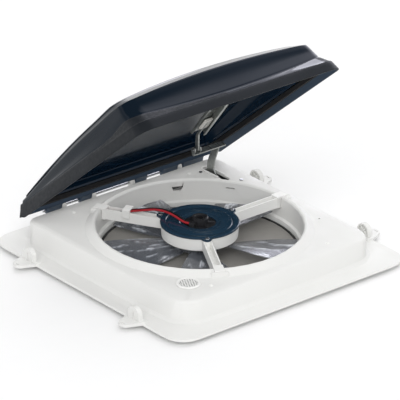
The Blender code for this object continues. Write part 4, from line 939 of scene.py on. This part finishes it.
def hex_plate(radius, pitch, hole, low, high):
    """A plate of six-sided cells with a round hole through each, within a radius."""
    corner = pitch / math.sqrt(3)
    work = bmesh.new()
    reach = int(radius / pitch) + 2
    for row in range(-reach, reach + 1):
        for column in range(-reach, reach + 1):
            x = (column + row / 2) * pitch
            y = row * pitch * math.sqrt(3) / 2
            if math.hypot(x, y) > radius:
                continue
            loops = []
            for z in (low, high):
                outer = []
                inner = []
                for i in range(12):
                    turn = math.tau * i / 12
                    flat = corner * math.cos(math.pi / 6) / math.cos((turn % (math.pi / 3)) - math.pi / 6)
                    c, n = math.cos(turn + math.pi / 6), math.sin(turn + math.pi / 6)
                    outer.append(work.verts.new((x + flat * c, y + flat * n, z)))
                    inner.append(work.verts.new((x + hole * c, y + hole * n, z)))
                loops.append((outer, inner))
            (low_outer, low_inner), (high_outer, high_inner) = loops
            for i in range(12):
                j = (i + 1) % 12
                work.faces.new((high_outer[i], high_outer[j], high_inner[j], high_inner[i]))
                work.faces.new((high_inner[i], high_inner[j], low_inner[j], low_inner[i]))
                work.faces.new((low_inner[i], low_inner[j], low_outer[j], low_outer[i]))
    bmesh.ops.remove_doubles(work, verts=work.verts, dist=0.00003)
    mesh = bpy.data.meshes.new("hex_plate")
    work.to_mesh(mesh)
    work.free()
    return mesh


def lathe(name, profile, count, centre):
    """A ring turned about a vertical axis, from its closed profile."""
    return grid_mesh(name, [circle(r, z, count, centre) for r, z in profile], wrap=True)


def make_grille(white, dark):
    """The sensor's grille: a raised white ring round a perforated disc, with a black disc under the holes
    as painted shade.
    """
    ring = [
        (15.2 * MM, DECK_TOP - 2 * MM),
        (15.2 * MM, DECK_TOP + 0.3 * MM),
        (18 * MM, DECK_TOP + 0.3 * MM),
        (18 * MM, DECK_TOP + 1.4 * MM),
        (16.9 * MM, DECK_TOP + 2.6 * MM),
        (14.9 * MM, DECK_TOP + 2.7 * MM),
        (13.4 * MM, DECK_TOP + 2.1 * MM),
        (13.2 * MM, DECK_TOP - 2 * MM),
    ]
    mesh = lathe("rim", ring, 64, SENSOR)
    rim = piece("sensor_grille_rim", mesh, "base", [white], ("sensor_grille",))
    round_edges(rim, 0.3 * MM, 40)
    holes = hex_plate(13.2 * MM, 4.2 * MM, 1.35 * MM, DECK_TOP + 1.6 * MM, DECK_TOP + 2 * MM)
    holes.transform(Matrix.Translation((*SENSOR, 0)))
    piece("sensor_grille_holes", holes, "base", [white])
    # Painted shade: a black disc just under the holes, so that they read dark.
    levels = (DECK_TOP + 0.5 * MM, DECK_TOP + 1.3 * MM)
    disc = grid_mesh("disc", [circle(13.3 * MM, z, 48, SENSOR) for z in levels])
    piece("sensor_grille_painted_shade", disc, "base", [dark])


# CAD nodes drawn as they are, with their sharp edges rounded by so many mm.
SOFT_EDGES = {
    "base_housing": 0.35,
    "motor_bracket": 0.3,
    "motor_cover": 0.4,
    "brush_cap": 0.3,
    "wire_clip": 0.5,
    "arm_slot_bezel": 0.3,
    "lift_rail": 0.2,
    "lift_arm": 0.2,
    "slide_strap": 0.2,
    "rail_slider": 0.3,
    "clevis_pin": 0.3,
    "lift_knob": 0.4,
    "gearbox_housing": 0.5,
    "gearbox_cover": 0.4,
    "screen_frame": 0.4,
    "fan_nut": 0.3,
}


# Build ------------------------------------------------------------------------------------


def main():
    make_camera()
    make_floor()
    make_light()
    white = white_plastic("white_moulding", (0.82, 0.82, 0.80), 0.46)
    trim = white_plastic("white_trim_moulding", (0.92, 0.92, 0.90), 0.40)
    navy = navy_gloss()
    black = black_moulding()
    zinc = galvanised()
    bright = plated("bright_zinc", (0.72, 0.73, 0.74), 0.22)
    brass = plated("machined_brass", (0.70, 0.52, 0.24), 0.28)
    looks = {
        "white_plastic": white,
        "white_trim": trim,
        "navy_cover": navy,
        "black_plastic": black,
        "zinc_steel": zinc,
        "bright_steel": bright,
        "brass": brass,
        "foam": foam(),
        "fan_plastic": smoked_blade(),
        "red_wire": insulation("red_insulation", (0.50, 0.018, 0.03), 0.34),
        "black_wire": insulation("black_insulation", (0.014, 0.014, 0.016), 0.36),
        "screen": woven_screen(),
        "nylon": nylon(),
        "smoked_lid": smoked_gloss("smoked_gloss", LID_SHINE),
    }
    slots = {part["node"]: part["material_slot"] for part in frame["record"]["subparts"]}
    for name, obj in NODES.items():
        for place in obj.material_slots:
            place.material = looks[slots[name]]
    # The lid's underside: deep blue painted light that comes through the smoked plastic.
    shell_painted_light = smoked_inside()
    skirt = skirt_inside()
    # A copy of the lid's gloss that mirrors far more, a painted highlight for its brow and ledge.
    highlight_gloss = smoked_gloss("smoked_painted_highlight", HIGHLIGHT_SHINE)
    make_lid(looks["smoked_lid"], smoked_matte(), shell_painted_light, skirt, highlight_gloss)
    make_knuckles(skirt)
    for node, width in SOFT_EDGES.items():
        softened(node, looks[slots[node]], width * MM)
    seal = softened("lid_seal", looks["foam"], 0.6 * MM)
    make_grille(trim, black)
    for number in (1, 2, 3):
        turn = math.tau * (number - 1) / 3
        x, y = COVER_LUG_RADIUS * math.cos(turn), COVER_LUG_RADIUS * math.sin(turn)
        at = (x, y, COVER_TOP - COVER_SCREW_SINK)
        screw_skin(f"cover_screw_{number}", at, SCREW_RADIUS, 1.7 * MM, bright, 0.4 * number)
    places = [(x * DECK_SCREW_X, y * DECK_SCREW_Y, DECK_TOP) for x in (-1, 1) for y in (-1, 1)]
    for number, at in enumerate(places, 1):
        screw_skin(f"deck_screw_{number}", at, SCREW_RADIUS, 1.2 * MM, trim, 0.7 * number)
    make_leads(looks["red_wire"], looks["black_wire"])


main()
